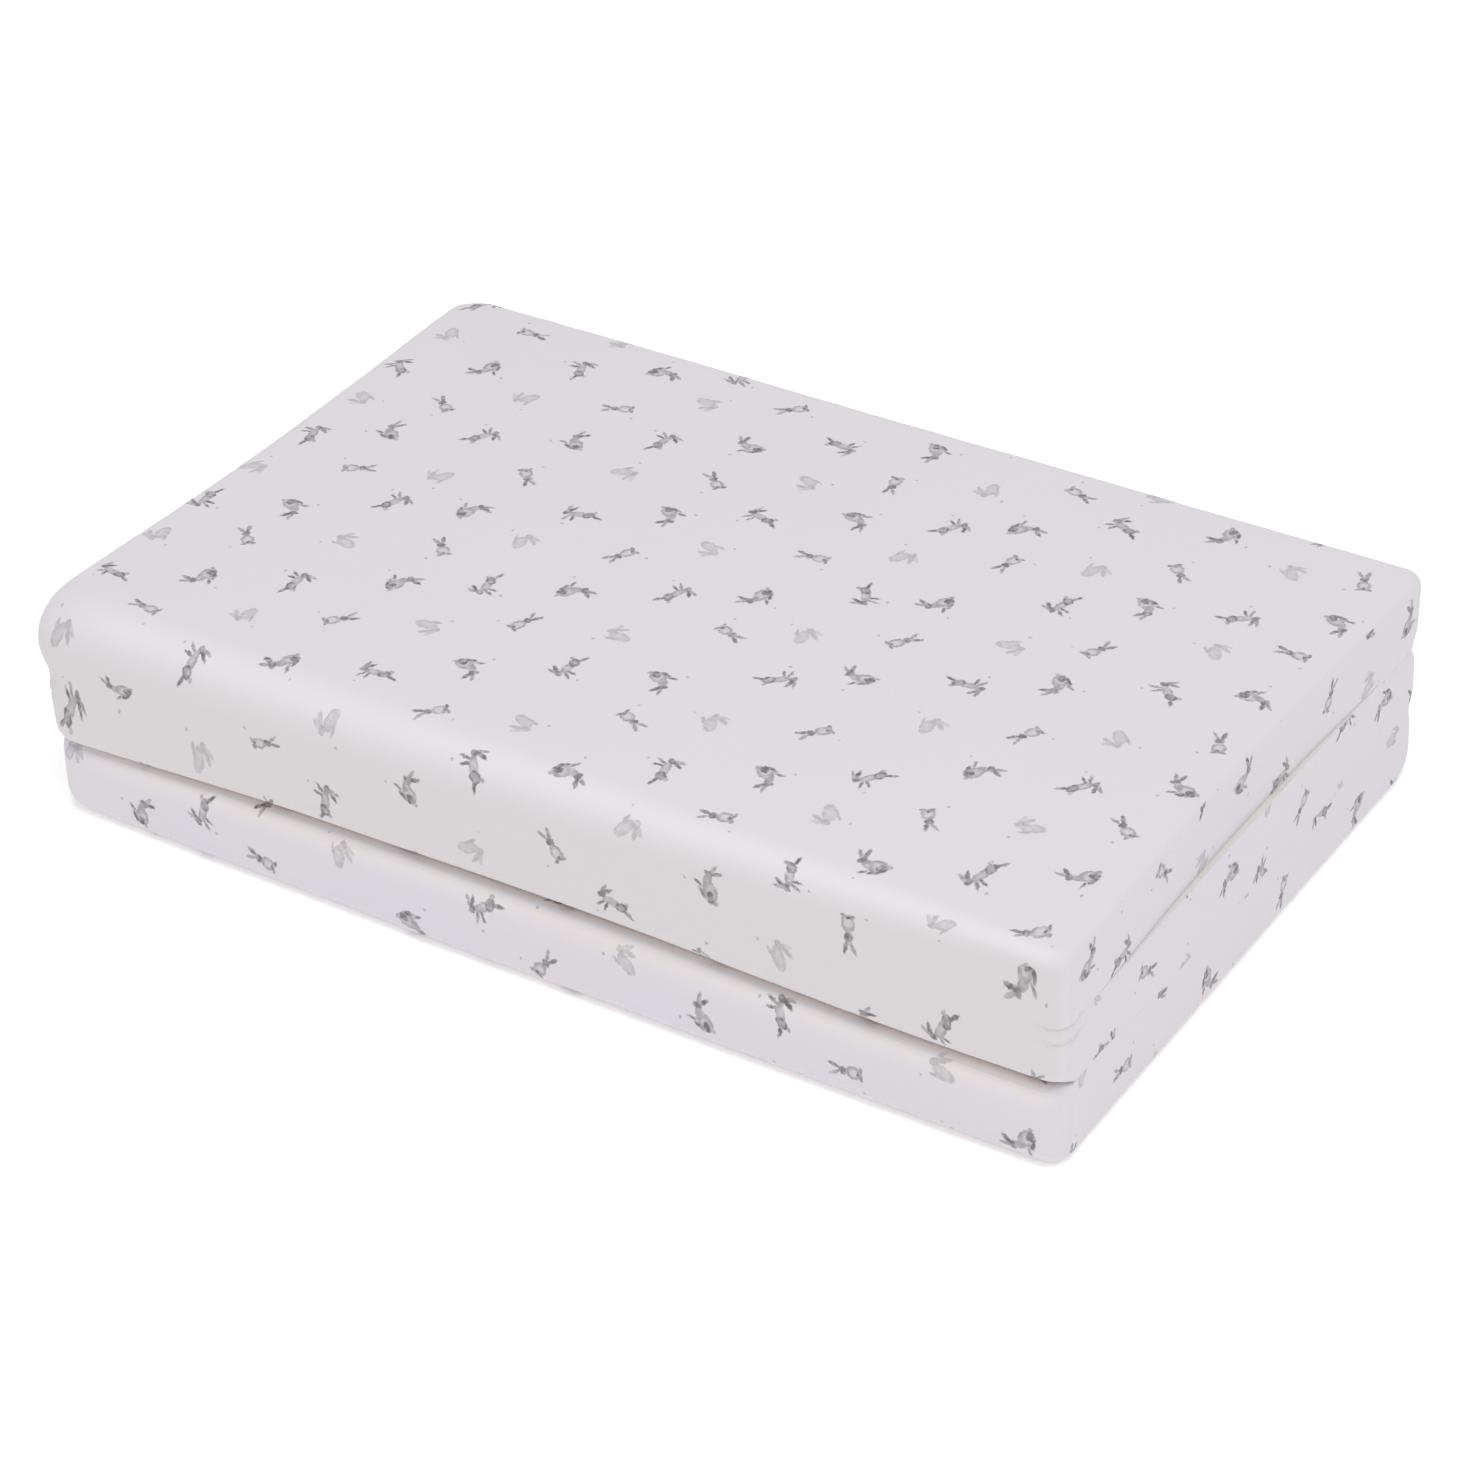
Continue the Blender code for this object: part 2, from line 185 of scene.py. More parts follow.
class NodeBuilder:
    """Short calls that add and join shader nodes."""

    def __init__(self, material: bpy.types.Material) -> None:
        """Keep the node tree of a material.

        Args:
            material: The material whose nodes are built.
        """
        self.tree = material.node_tree

    def add(self, kind: str, **settings: object) -> bpy.types.Node:
        """Add one node.

        Args:
            kind: The node's Blender type.
            settings: Properties to set on it.

        Returns:
            The new node.
        """
        node = self.tree.nodes.new(kind)
        for key, value in settings.items():
            setattr(node, key, value)
        return node

    def feed(self, socket: Socket, value: object) -> None:
        """Link a socket to another, or set its value.

        Args:
            socket: The input to feed.
            value: An output socket, a number or a tuple.
        """
        if isinstance(value, Socket):
            self.tree.links.new(value, socket)
        else:
            socket.default_value = value

    def math(self, operation: str, *values: object, clamp: bool = False) -> Socket:
        """Add a Math node and return its output.

        Args:
            operation: The Math node's operation.
            values: Its inputs, sockets or numbers.
            clamp: Whether the result is kept from 0 to 1.

        Returns:
            The result's socket.
        """
        node = self.add("ShaderNodeMath", operation=operation, use_clamp=clamp)
        for socket, value in zip(node.inputs, values):
            self.feed(socket, value)
        return node.outputs[0]

    def vector(self, operation: str, *values: object) -> Socket:
        """Add a Vector Math node.

        Args:
            operation: The node's operation.
            values: Its inputs, sockets or tuples.

        Returns:
            The result's socket, a number for LENGTH.
        """
        node = self.add("ShaderNodeVectorMath", operation=operation)
        for socket, value in zip(node.inputs, values):
            self.feed(socket, value)
        return node.outputs["Value" if operation == "LENGTH" else "Vector"]

    def join(self, x: object, y: object, z: object = 0.0) -> Socket:
        """Make a vector.

        Args:
            x: Its first part, a number or a socket.
            y: Its second part.
            z: Its third part.

        Returns:
            The vector's socket.
        """
        node = self.add("ShaderNodeCombineXYZ")
        for socket, value in zip(node.inputs, (x, y, z)):
            self.feed(socket, value)
        return node.outputs[0]

    def ramp(self, value: object, start: float, end: float) -> Socket:
        """Rise smoothly from 0 at start to 1 at end.

        Args:
            value: What rises.
            start: Where the result is 0.
            end: Where it is 1.

        Returns:
            The result's socket.
        """
        node = self.add("ShaderNodeMapRange", interpolation_type="SMOOTHSTEP")
        self.feed(node.inputs["Value"], value)
        node.inputs["From Min"].default_value = start
        node.inputs["From Max"].default_value = end
        return node.outputs["Result"]

    def noise(
        self, where: object, scale: float, detail: float = 2.0, output: str = "Fac"
    ) -> Socket:
        """Add a Noise Texture.

        Args:
            where: The place that it reads.
            scale: How fine it is.
            detail: How many finer layers it has.
            output: The name of the output to return.

        Returns:
            The output's socket.
        """
        node = self.add("ShaderNodeTexNoise")
        self.feed(node.inputs["Vector"], where)
        node.inputs["Scale"].default_value = scale
        node.inputs["Detail"].default_value = detail
        return node.outputs[output]

    def blend(self, share: object, low: object, high: object) -> Socket:
        """Mix two colours.

        Args:
            share: How much of the second shows.
            low: The first colour.
            high: The second colour.

        Returns:
            The mixed colour's socket.
        """
        node = self.add("ShaderNodeMix", data_type="RGBA")
        self.feed(node.inputs["Factor"], share)
        self.feed(node.inputs[6], low)
        self.feed(node.inputs[7], high)
        return node.outputs[2]


class RabbitPrint:
    """A tossed print of small grey rabbits, drawn from ovals on the cloth's own UV map."""

    # The grid's cell, and how far a rabbit strays in it, in metres
    CELL = 0.043
    JITTER = 0.0110
    TOSS_SEED = 4.0
    # How much larger a rabbit is than its ovals say
    SIZE = 1.13
    # How far the brush strays and how soft its edge is, in millimetres, and how fine it is
    BRUSH = 1.5
    SOFT_EDGE = 0.30
    WIDEST_EDGE = 0.45
    BRUSH_SCALE = 520.0
    # Where the paler middle of a hollow oval starts and ends, as shares of the oval
    HOLLOW = (0.85, 0.30)
    # How fine the watercolour's unevenness is, its contrast and its darkness
    WASH_SCALE = 330.0
    WASH_CONTRAST = 1.9
    WASH_SHIFT = -0.12
    POSES = (SITTING, HOPPING, UPRIGHT, RESTING)

    def __init__(self, nodes: NodeBuilder) -> None:
        """Keep the node builder.

        Args:
            nodes: Adds the nodes to the cloth's material.
        """
        self.nodes = nodes

    def oval(self, place: Socket, blob: Blob) -> Socket:
        """How much ink one oval lays down.

        Args:
            place: The point in the motif's frame, in millimetres.
            blob: The oval.

        Returns:
            The oval's tone inside it, fading to 0 at its edge.
        """
        n = self.nodes
        local = n.add("ShaderNodeMapping", vector_type="TEXTURE")
        n.feed(local.inputs["Vector"], place)
        local.inputs["Location"].default_value = (blob.x, blob.y, 0.0)
        local.inputs["Rotation"].default_value = (0.0, 0.0, math.radians(blob.turn))
        local.inputs["Scale"].default_value = (blob.long, blob.wide, 1.0)
        reach = n.vector("LENGTH", local.outputs[0])
        edge = min(self.WIDEST_EDGE, self.SOFT_EDGE / min(blob.long, blob.wide))
        ink = n.math("MULTIPLY", n.ramp(reach, 1.0 + edge, 1.0 - edge), blob.tone)
        if blob.hollow == 0.0:
            return ink
        middle = n.math("MULTIPLY", n.ramp(reach, *self.HOLLOW), blob.hollow)
        return n.math("MULTIPLY", ink, n.math("SUBTRACT", 1.0, middle))

    def motif(self, place: Socket, blobs: tuple[Blob, ...]) -> Socket:
        """Lay a motif's ovals over each other.

        Args:
            place: The point in the motif's frame, in millimetres.
            blobs: The ovals.

        Returns:
            The motif's ink.
        """
        ink = self.oval(place, blobs[0])
        for blob in blobs[1:]:
            ink = self.nodes.math("MAXIMUM", ink, self.oval(place, blob))
        return ink

    def toss(self, where: Socket) -> tuple[Socket, Socket]:
        """Set a rabbit in each cell of a half-drop grid, moved and turned by chance.

        Args:
            where: The UV map, in metres.

        Returns:
            The point in its rabbit's own frame, in millimetres, and the number of its pose.
        """
        n = self.nodes
        parts = n.add("ShaderNodeSeparateXYZ")
        n.feed(parts.inputs[0], n.vector("MULTIPLY", where, (1 / self.CELL,) * 3))
        column = n.math("FLOOR", parts.outputs[0])
        odd = n.math("FLOORED_MODULO", column, 2.0)
        dropped = n.math("MULTIPLY_ADD", odd, 0.5, parts.outputs[1])
        row = n.math("FLOOR", dropped)
        white = n.add("ShaderNodeTexWhiteNoise", noise_dimensions="3D")
        n.feed(white.inputs["Vector"], n.join(column, row, self.TOSS_SEED))
        chance = n.add("ShaderNodeSeparateXYZ")
        n.feed(chance.inputs[0], white.outputs["Color"])
        shift = self.JITTER / self.CELL
        middle = 0.5 + shift / 2
        across = n.math("MULTIPLY_ADD", chance.outputs[0], -shift, middle)
        along = n.math("MULTIPLY_ADD", chance.outputs[1], -shift, middle)
        x = n.math("SUBTRACT", n.math("FRACT", parts.outputs[0]), across)
        y = n.math("SUBTRACT", n.math("FRACT", dropped), along)
        millimetres = self.CELL / MM / self.SIZE
        flat = n.join(n.math("MULTIPLY", x, millimetres), n.math("MULTIPLY", y, millimetres))
        turned = n.add("ShaderNodeVectorRotate", rotation_type="Z_AXIS")
        n.feed(turned.inputs["Vector"], flat)
        n.feed(turned.inputs["Angle"], n.math("MULTIPLY", chance.outputs[2], math.tau))
        place_in_turn = n.math("MULTIPLY_ADD", row, 2.0, column)
        pose = n.math("FLOORED_MODULO", place_in_turn, float(len(self.POSES)))
        return turned.outputs[0], pose

    def ink(self, where: Socket) -> Socket:
        """The print's ink at a point of the cloth.

        Args:
            where: The UV map, in metres.

        Returns:
            The ink's strength, from 0 to 1.
        """
        n = self.nodes
        place, pose = self.toss(where)
        brush = n.noise(where, self.BRUSH_SCALE, 1.0, "Color")
        wobble = n.vector("SUBTRACT", brush, (0.5, 0.5, 0.5))
        wobble = n.vector("MULTIPLY", wobble, (self.BRUSH, self.BRUSH, 0.0))
        place = n.vector("ADD", place, wobble)
        total = self.oval(place, SPECK)
        for index, blobs in enumerate(self.POSES):
            here = n.math("COMPARE", pose, float(index), 0.5)
            shown = n.math("MULTIPLY", here, self.motif(place, blobs))
            total = n.math("MAXIMUM", total, shown)
        wash = n.noise(where, self.WASH_SCALE, 3.0)
        wash = n.math("MULTIPLY_ADD", wash, self.WASH_CONTRAST, self.WASH_SHIFT, clamp=True)
        return n.math("MULTIPLY", total, wash, clamp=True)


class CottonMaker:
    """Makes the cotton materials."""

    def make(self, finish: ClothFinish) -> bpy.types.Material:
        """Build one cotton.

        Args:
            finish: Its colours and relief.

        Returns:
            The material.
        """
        material = bpy.data.materials.new(finish.name)
        material.use_nodes = True
        n = NodeBuilder(material)
        shader = n.tree.nodes["Principled BSDF"]
        uv = n.add("ShaderNodeUVMap", uv_map="cloth").outputs[0]
        body = n.add("ShaderNodeTexCoord").outputs["Object"]
        # The shares of the painted bounce light, shade and highlight, read from the mesh's layers
        bounce, shade, ridge = (
            n.add("ShaderNodeAttribute", attribute_name=name).outputs["Fac"] for name in TONE_LAYERS
        )
        tint = n.ramp(n.noise(body, finish.tint_scale), *finish.tint_range)
        cooler, warmer = (
            tuple(c * s for c, s in zip(finish.ground, shift)) + (1.0,)
            for shift in (finish.cooler, finish.warmer)
        )
        ground = n.blend(tint, cooler, warmer)
        # Over the ground: the painted highlight, the painted shade and warm bounce light at the
        # front fold, the painted bounce light in the slit's mouth, then the print
        tones = (
            (ridge, finish.ridge_highlight),
            (n.ramp(shade, 0.0, 0.5), finish.fold_face),
            (n.ramp(shade, 0.5, 1.0), finish.fold_shade),
            (bounce, finish.slit_bounce_light),
            (n.math("MULTIPLY", RabbitPrint(n).ink(uv), finish.print_strength), finish.print_grey),
        )
        for share, tone in tones:
            ground = n.blend(share, ground, tone + (1.0,))
        n.feed(shader.inputs["Base Color"], ground)
        shader.inputs["Roughness"].default_value = finish.roughness
        shader.inputs["Specular IOR Level"].default_value = finish.specular
        shader.inputs["Sheen Weight"].default_value = finish.sheen
        shader.inputs["Sheen Roughness"].default_value = finish.sheen_roughness
        n.feed(shader.inputs["Normal"], self.relief(n, uv, body, finish))
        return material

    def relief(self, n: NodeBuilder, uv: Socket, body: Socket, finish: ClothFinish) -> Socket:
        """The weave's relief and the cloth's soft unevenness.

        Args:
            n: Adds the nodes.
            uv: The UV map, in metres.
            body: Object coordinates.
            finish: The pitch and height of the threads.

        Returns:
            The bumped normal.
        """
        parts = n.add("ShaderNodeSeparateXYZ")
        n.feed(parts.inputs[0], uv)
        turns = math.pi / finish.thread_pitch
        warp = n.math("SINE", n.math("MULTIPLY", parts.outputs[0], turns))
        weft = n.math("SINE", n.math("MULTIPLY", parts.outputs[1], turns))
        weave = n.math("MULTIPLY", n.math("MULTIPLY", warp, weft), finish.weave_share)
        slub = n.noise(uv, finish.slub_scale, 3.0)
        height = n.math("MULTIPLY_ADD", slub, finish.slub_share, weave)
        threads = n.add("ShaderNodeBump")
        threads.inputs["Strength"].default_value = finish.weave_strength
        threads.inputs["Distance"].default_value = finish.weave_height
        n.feed(threads.inputs["Height"], height)
        soft = n.add("ShaderNodeBump")
        soft.inputs["Strength"].default_value = finish.soft_strength
        soft.inputs["Distance"].default_value = finish.soft_height
        n.feed(soft.inputs["Height"], n.noise(body, finish.soft_scale))
        n.feed(soft.inputs["Normal"], threads.outputs[0])
        return soft.outputs[0]


def smooth(value: np.ndarray) -> np.ndarray:
    """Rise smoothly from 0 at 0 to 1 at 1."""
    share = np.clip(value, 0, 1)
    return share * share * (3 - 2 * share)


def bell(value: np.ndarray, half: float) -> np.ndarray:
    """Fall softly from 1 at 0 to almost 0 past twice the half width."""
    return np.exp(-((value / half) ** 2))


def arc(
    centre: Point, radius: float, start: float, end: float, shares: list[float]
) -> list[Point]:
    """Points on a round corner.

    Args:
        centre: Its centre, as y and z.
        radius: Its radius.
        start: The first angle, in degrees from +Y towards +Z.
        end: The last angle.
        shares: Where the points lie, from 0 at the start to 1 at the end.

    Returns:
        The points, as y and z.
    """
    angles = [math.radians(start + (end - start) * share) for share in shares]
    return [(centre[0] + radius * math.cos(a), centre[1] + radius * math.sin(a)) for a in angles]


def even(count: int) -> list[float]:
    """Shares of an even division, without the first."""
    return [(i + 1) / count for i in range(count)]


def line(start: Point, end: Point, shares: list[float]) -> list[Point]:
    """Points on a straight run."""
    (y, z), (last_y, last_z) = start, end
    return [(y + (last_y - y) * share, z + (last_z - z) * share) for share in shares]


# Steps from the seam inwards, in millimetres, where the lines across lie close together
NEAR_SEAM = (0.0, 0.35, 0.8, 1.6, 2.8, 4.4, 6.6, 9.4, 13.0, 17.5, 23.5, 31.0)

# Where the lines lie through the first half of the thickness, and round the ends' corners
THICKNESS_SHARES = (0.0, 0.015, 0.04, 0.08, 0.14, 0.22, 0.31, 0.40, 0.50)
CORNER_SHARES = (0.12, 0.32, 0.62, 1.0)
CLOSING_SHARES = (0.38, 0.68, 0.88, 1.0)
CORNER_LINES = 4
END_STEPS = 12

# Lines round the folds: before, on and after the bends, and half-way along a fold's flat face
FACE_LINES = 14
UPPER_LINES = 9
LIP_LINES = 8
TURN_LINES = 6
BEFORE_EDGE_LINES = 3
AFTER_LIP_LINES = 4
BESIDE_TURN_LINES = 2
FRONT_FAN_LINES = BEFORE_EDGE_LINES + UPPER_LINES + 2 * FACE_LINES + LIP_LINES + AFTER_LIP_LINES
BACK_FAN_LINES = 2 * (BESIDE_TURN_LINES + TURN_LINES + FACE_LINES)
FRONT_SLIT_LINES = (FRONT_FAN_LINES - TURN_LINES) // 2
BACK_SLIT_LINES = (BACK_FAN_LINES - TURN_LINES) // 2

# The names of the mesh's layers: each point's lines, and the shares of the painted light and shade
LINE_LAYERS = ("across", "along", "through")
TONE_LAYERS = ("slit_bounce_light", "fold_shade", "ridge_highlight")

# Edges that bend more than this are shaded as cut edges
SHARP_ANGLE = 50.0

# The radius of the front fold's lower lip at places along the width
LIP = (
    (-0.300, 0.0060),
    (-0.226, 0.0090),
    (-0.153, 0.0125),
    (-0.040, 0.0145),
    (0.090, 0.0150),
    (0.200, 0.0130),
    (0.300, 0.0130),
)

# How much higher than a third of the block the bottom panel stands at its front edge
FRONT_RISE = (
    (-0.300, 0.0005),
    (-0.226, 0.0030),
    (-0.153, 0.0060),
    (-0.079, 0.0070),
    (0.020, 0.0078),
    (0.090, 0.0075),
    (0.141, 0.0060),
    (0.206, 0.0044),
    (0.300, 0.0048),
)

# The radius of the front fold's upper edge at places along the width
FRONT_RADIUS = (
    (-0.300, 0.027),
    (-0.180, 0.025),
    (0.000, 0.022),
    (0.170, 0.017),
    (0.260, 0.012),
    (0.300, 0.008),
)

# Millimetres that each panel's sides come in: at its front face, behind it, mid-way, at the back
DRAWN_IN = {
    (Panel.TOP, Side.LEFT): (-5.0, 5.0, 8.5, 3.5),
    (Panel.TOP, Side.RIGHT): (0.0, 0.9, 5.5, 2.0),
    (Panel.MIDDLE, Side.LEFT): (4.5, 4.5, 3.0, 2.5),
    (Panel.MIDDLE, Side.RIGHT): (0.0, 0.8, 2.0, 2.5),
    (Panel.BOTTOM, Side.LEFT): (5.5, 5.0, 3.0, 2.5),
    (Panel.BOTTOM, Side.RIGHT): (0.0, 0.8, 2.0, 2.5),
}

# How far apart the cloths lie on the UV map, in metres
OTHER_SHIFT = 3.0
SIDE_SHIFT = 8.0

# The creases at the front corners: their height from the panels' joint, and how much they lean
CORNER_CREASES = ((-0.0098, 0.0), (-0.0025, 0.05))


@dataclass
class FoldedCover:
    """The whole cover, as a flat box of cloth that is folded in a Z."""

    # The block, and the slits between its panels
    width: float = 0.600
    depth: float = 0.3915
    height: float = 0.1215
    crown: float = 0.0015
    front_bow: float = 0.0025
    low_slit: float = 0.00006
    high_slit: float = 0.00012
    # How far back the front rise holds and fades, and where the slits and the folds' fans end
    rise_hold: float = 0.030
    rise_fade: float = 0.080
    web: float = 0.036
    fan_reach: float = 0.020
    # The rounded edges of the back fold, the ends, the corners and the sides
    back_high_radius: float = 0.018
    back_low_radius: float = 0.016
    end_low_radius: float = 0.011
    end_high_radius: float = 0.009
    end_back: float = 0.001
    left_corner_radius: float = 0.022
    right_corner_radius: float = 0.012
    # The sides: how they are drawn in, where their seams lie and how they bulge
    side_margin: float = 0.004
    left_drop: float = 0.005
    left_drop_lines: float = 5.0
    edge_radius: float = 0.0055
    seam_from_side: float = 0.0009
    seam_angle: float = 50.0
    side_bulge: float = 0.005
    # The crease along a fold near the sides, and the spread of lines over the fold's face
    crease_depth: float = 0.0030
    crease_reach: float = 0.055
    crease_half: float = 0.009
    crease_sharpness: float = 1.4
    face_spread: float = 1.25
    table_spread: float = 0.02
    least_lip: float = 0.002
    least_front_radius: float = 0.004
    # How many lines the panels have, and how far apart they are
    run_lines: int = 84
    middle_lines: int = 72
    across_pitch: float = 0.0100

    def __post_init__(self) -> None:
        """Work out the panel's thickness, and the lines across, along and through the cloth."""
        self.half_width = self.width / 2
        self.half_depth = self.depth / 2
        self.panel = self.height / 3
        inward = [self.seam_from_side + step * MM for step in NEAR_SEAM]
        first = inward[-1]
        steps = round((self.half_width - first) / self.across_pitch)
        inward += [first + (self.half_width - first) * share for share in even(steps)]
        left = [distance - self.half_width for distance in inward]
        self.stations = left + [-x for x in left[-2::-1]]
        self.shares = list(THICKNESS_SHARES) + [1 - share for share in THICKNESS_SHARES[-2::-1]]
        self.line_fan = CORNER_LINES + self.run_lines
        self.line_front = self.line_fan + FRONT_FAN_LINES // 2
        self.line_middle = self.line_fan + FRONT_FAN_LINES
        self.line_back_fan = self.line_middle + self.middle_lines
        self.line_back = self.line_back_fan + BACK_FAN_LINES // 2
        self.line_bottom = self.line_back_fan + BACK_FAN_LINES
        self.last = self.line_bottom + self.run_lines + CORNER_LINES

    def crease(self, x: float) -> float:
        """How deep the folds are creased at x."""
        from_side = self.half_width - abs(x)
        return self.crease_depth * max(0.0, 1 - from_side / self.crease_reach) ** 2

    def insets(self, x: float) -> tuple[float, float]:
        """How far the ends and the faces come in near the rounded sides.

        Args:
            x: The place along the width.

        Returns:
            How far the ends come in, and how far the faces do.
        """
        from_side = self.half_width - abs(x)
        found = []
        corner = self.left_corner_radius if x < 0 else self.right_corner_radius
        for radius in (corner, self.edge_radius):
            found.append(radius - math.sqrt(radius**2 - max(0.0, radius - from_side) ** 2))
        return found[0], found[1]

    def read(self, table: tuple[Point, ...], x: float) -> float:
        """Read a table, evened out a little between its rows.

        Args:
            table: Rows of a place along the width and a value.
            x: The place to read.

        Returns:
            The value.
        """
        places, values = zip(*table)
        spread = self.table_spread
        return float(np.interp([x - spread, x, x + spread], places, values).mean())

    def raised(self, points: list[Point], rise: float) -> list[Point]:
        """Lift the points near the front, where the bottom panel stands higher.

        Args:
            points: The points, as y and z.
            rise: How high the front edge is lifted.

        Returns:
            The lifted points.
        """
        hold = self.rise_hold - self.half_depth
        return [(y, z + rise * float(1 - smooth((y - hold) / self.rise_fade))) for y, z in points]

    def fold_face(
        self, face: float, facing: int, low: float, middle: float, high: float, x: float
    ) -> list[Point]:
        """Points up a fold's flat face, creased at its middle.

        Args:
            face: Where the face lies in depth.
            facing: -1 where it faces the front, 1 where it faces the back.
            low: The height that the points start above.
            middle: The height of the crease.
            high: The height that they go up to.
            x: The place along the width.

        Returns:
            The points, as y and z.
        """
        depth, spread = self.crease(x), self.face_spread
        heights = [middle + (low - middle) * (1 - share) ** spread for share in even(FACE_LINES)]
        heights += [middle + (high - middle) * share**spread for share in even(FACE_LINES)]
        points = []
        for z in heights:
            near = math.exp(-self.crease_sharpness * ((z - middle) / self.crease_half) ** 2)
            points.append((face - facing * depth * near, z))
        return points

    def end_column(self, face: float, facing: int, low: float, high: float) -> list[Point]:
        """Points down a free end, from its high seam to its low one.

        Args:
            face: Where the end lies in depth.
            facing: -1 where it faces the front, 1 where it faces the back.
            low: The height of its panel's lower face.
            high: The height of its panel's upper face.

        Returns:
            The points, as y and z.
        """
        fine = [0.0] + even(END_STEPS)
        r_low, r_high = self.end_low_radius, self.end_high_radius
        below = arc((r_low, low + r_low), r_low, 180 + self.seam_angle, 180, fine)
        above = arc((r_high, high - r_high), r_high, 180, 180 - self.seam_angle, fine)
        path = np.array(below + above)
        steps = np.concatenate([[0.0], np.cumsum(np.hypot(*np.diff(path, axis=0).T))])
        shares = np.array(self.shares) * steps[-1]
        inward = np.interp(shares, steps, path[:, 0])
        up = np.interp(shares, steps, path[:, 1])
        return [(face - facing * y, z) for y, z in zip(inward, up)][::-1]

    def section(self, x: float) -> tuple[np.ndarray, ...]:
        """The cover's section at x.

        Args:
            x: The place along the width.

        Returns:
            The outer face from the top's back end to the bottom's front end, the other face
            likewise, then the back end's column and the front end's, each as rows of y and z.
        """
        ends_in, edges_in = self.insets(x)
        front, back = ends_in - self.half_depth, self.half_depth - ends_in
        top, bottom = self.height - edges_in, edges_in
        low, high = self.panel, 2 * self.panel
        half_low, half_high = self.low_slit / 2, self.high_slit / 2
        rise = self.read(FRONT_RISE, x)
        slit_front = self.web - self.half_depth
        slit_back = -slit_front
        fan_front = self.web + self.fan_reach - self.half_depth
        fan_back = -fan_front
        lip = max(self.least_lip, self.read(LIP, x) - edges_in)
        r_front = max(self.least_front_radius, self.read(FRONT_RADIUS, x) - edges_in)
        r_back_high = self.back_high_radius - edges_in
        r_back_low = self.back_low_radius - edges_in
        r_low, r_high = self.end_low_radius, self.end_high_radius
        seam, end = self.seam_angle, back - self.end_back
        slit_top, slit_under = high + half_high, high - half_high
        low_top, low_under = low + half_low, low - half_low
        lip_top, under_top = low_top + rise, low_under + rise
        run, middle = even(self.run_lines), even(self.middle_lines)

        outer = arc((end - r_high, top - r_high), r_high, seam, 90, (0.0,) + CORNER_SHARES)
        outer += line(outer[-1], (fan_front, top), run)
        outer += line((fan_front, top), (front + r_front, top), even(BEFORE_EDGE_LINES))
        outer += arc((front + r_front, top - r_front), r_front, 90, 180, even(UPPER_LINES))
        rising = self.fold_face(front, -1, lip_top + lip, high, top - r_front, x)
        outer += rising[-2::-1] + [(front, lip_top + lip)]
        outer += arc((front + lip, lip_top + lip), lip, 180, 270, even(LIP_LINES))
        after_lip = line((front + lip, low_top), (fan_front, low_top), even(AFTER_LIP_LINES))
        outer += self.raised(after_lip, rise)
        outer += self.raised(line((fan_front, low_top), (fan_back, low_top), middle), rise)
        outer += line((fan_back, low_top), (slit_back, low_top), even(BACK_SLIT_LINES))
        outer += arc((slit_back, low), half_low, 90, -90, even(TURN_LINES))
        outer += line((slit_back, low_under), (fan_back, low_under), even(BACK_SLIT_LINES))
        outer += self.raised(line((fan_back, low_under), (front + r_high, low_under), run), rise)
        outer += arc((front + r_high, under_top - r_high), r_high, 90, 180 - seam, CLOSING_SHARES)

        other = arc((end - r_low, slit_top + r_low), r_low, -seam, -90, (0.0,) + CORNER_SHARES)
        other += line(other[-1], (fan_front, slit_top), run)
        other += line((fan_front, slit_top), (slit_front, slit_top), even(FRONT_SLIT_LINES))
        other += arc((slit_front, high), half_high, 90, 270, even(TURN_LINES))
        other += line((slit_front, slit_under), (fan_front, slit_under), even(FRONT_SLIT_LINES))
        other += line((fan_front, slit_under), (fan_back, slit_under), middle)
        turn, beside = even(TURN_LINES), even(BESIDE_TURN_LINES)
        other += line((fan_back, slit_under), (back - r_back_high, slit_under), beside)
        other += arc((back - r_back_high, slit_under - r_back_high), r_back_high, 90, 0, turn)
        rising = self.fold_face(back, 1, bottom + r_back_low, low, slit_under - r_back_high, x)
        other += rising[-2::-1] + [(back, bottom + r_back_low)]
        other += arc((back - r_back_low, bottom + r_back_low), r_back_low, 0, -90, turn)
        other += line((back - r_back_low, bottom), (fan_back, bottom), beside)
        other += line((fan_back, bottom), (front + r_low, bottom), run)
        other += arc((front + r_low, bottom + r_low), r_low, 270, 180 + seam, CLOSING_SHARES)

        back_column = self.end_column(end, 1, slit_top, top)
        front_column = self.end_column(front, -1, bottom, under_top)
        return tuple(np.array(part) for part in (outer, other, back_column, front_column))


@dataclass(frozen=True)
class ToneReach:
    """Where the painted light and shade lie, in metres, and in lines along or across the cloth."""

    # The painted bounce light on the ledge of the middle panel's top
    ledge_ends: tuple[float, float] = (-0.160, 0.170)
    ledge_fade: float = 0.025
    ledge_steps: tuple[int, int, int, int] = (0, 2, 4, 6)
    ledge_shares: tuple[float, float, float, float] = (0.25, 0.7, 1.0, 0.0)
    # The painted warm bounce light in the shade under the lip
    under_lines: int = 14
    under_start: float = 0.001
    under_rise: float = 0.006
    under_end: float = 0.04
    under_fade: float = 0.02
    under_side: float = 0.004
    under_side_fade: float = 0.010
    # The painted shade on the front fold's face
    face_start: int = 6
    face_rise: int = 7
    face_end: int = 4
    face_side_fade: float = 0.006
    # The painted highlight along the front fold's upper edge, and along the front strip's
    ridge_line: float = 6.3
    ridge_lines: float = 2.3
    ridge_side: float = 0.002
    ridge_side_fades: tuple[float, float] = (0.060, 0.012)
    strip_reach: float = 0.008


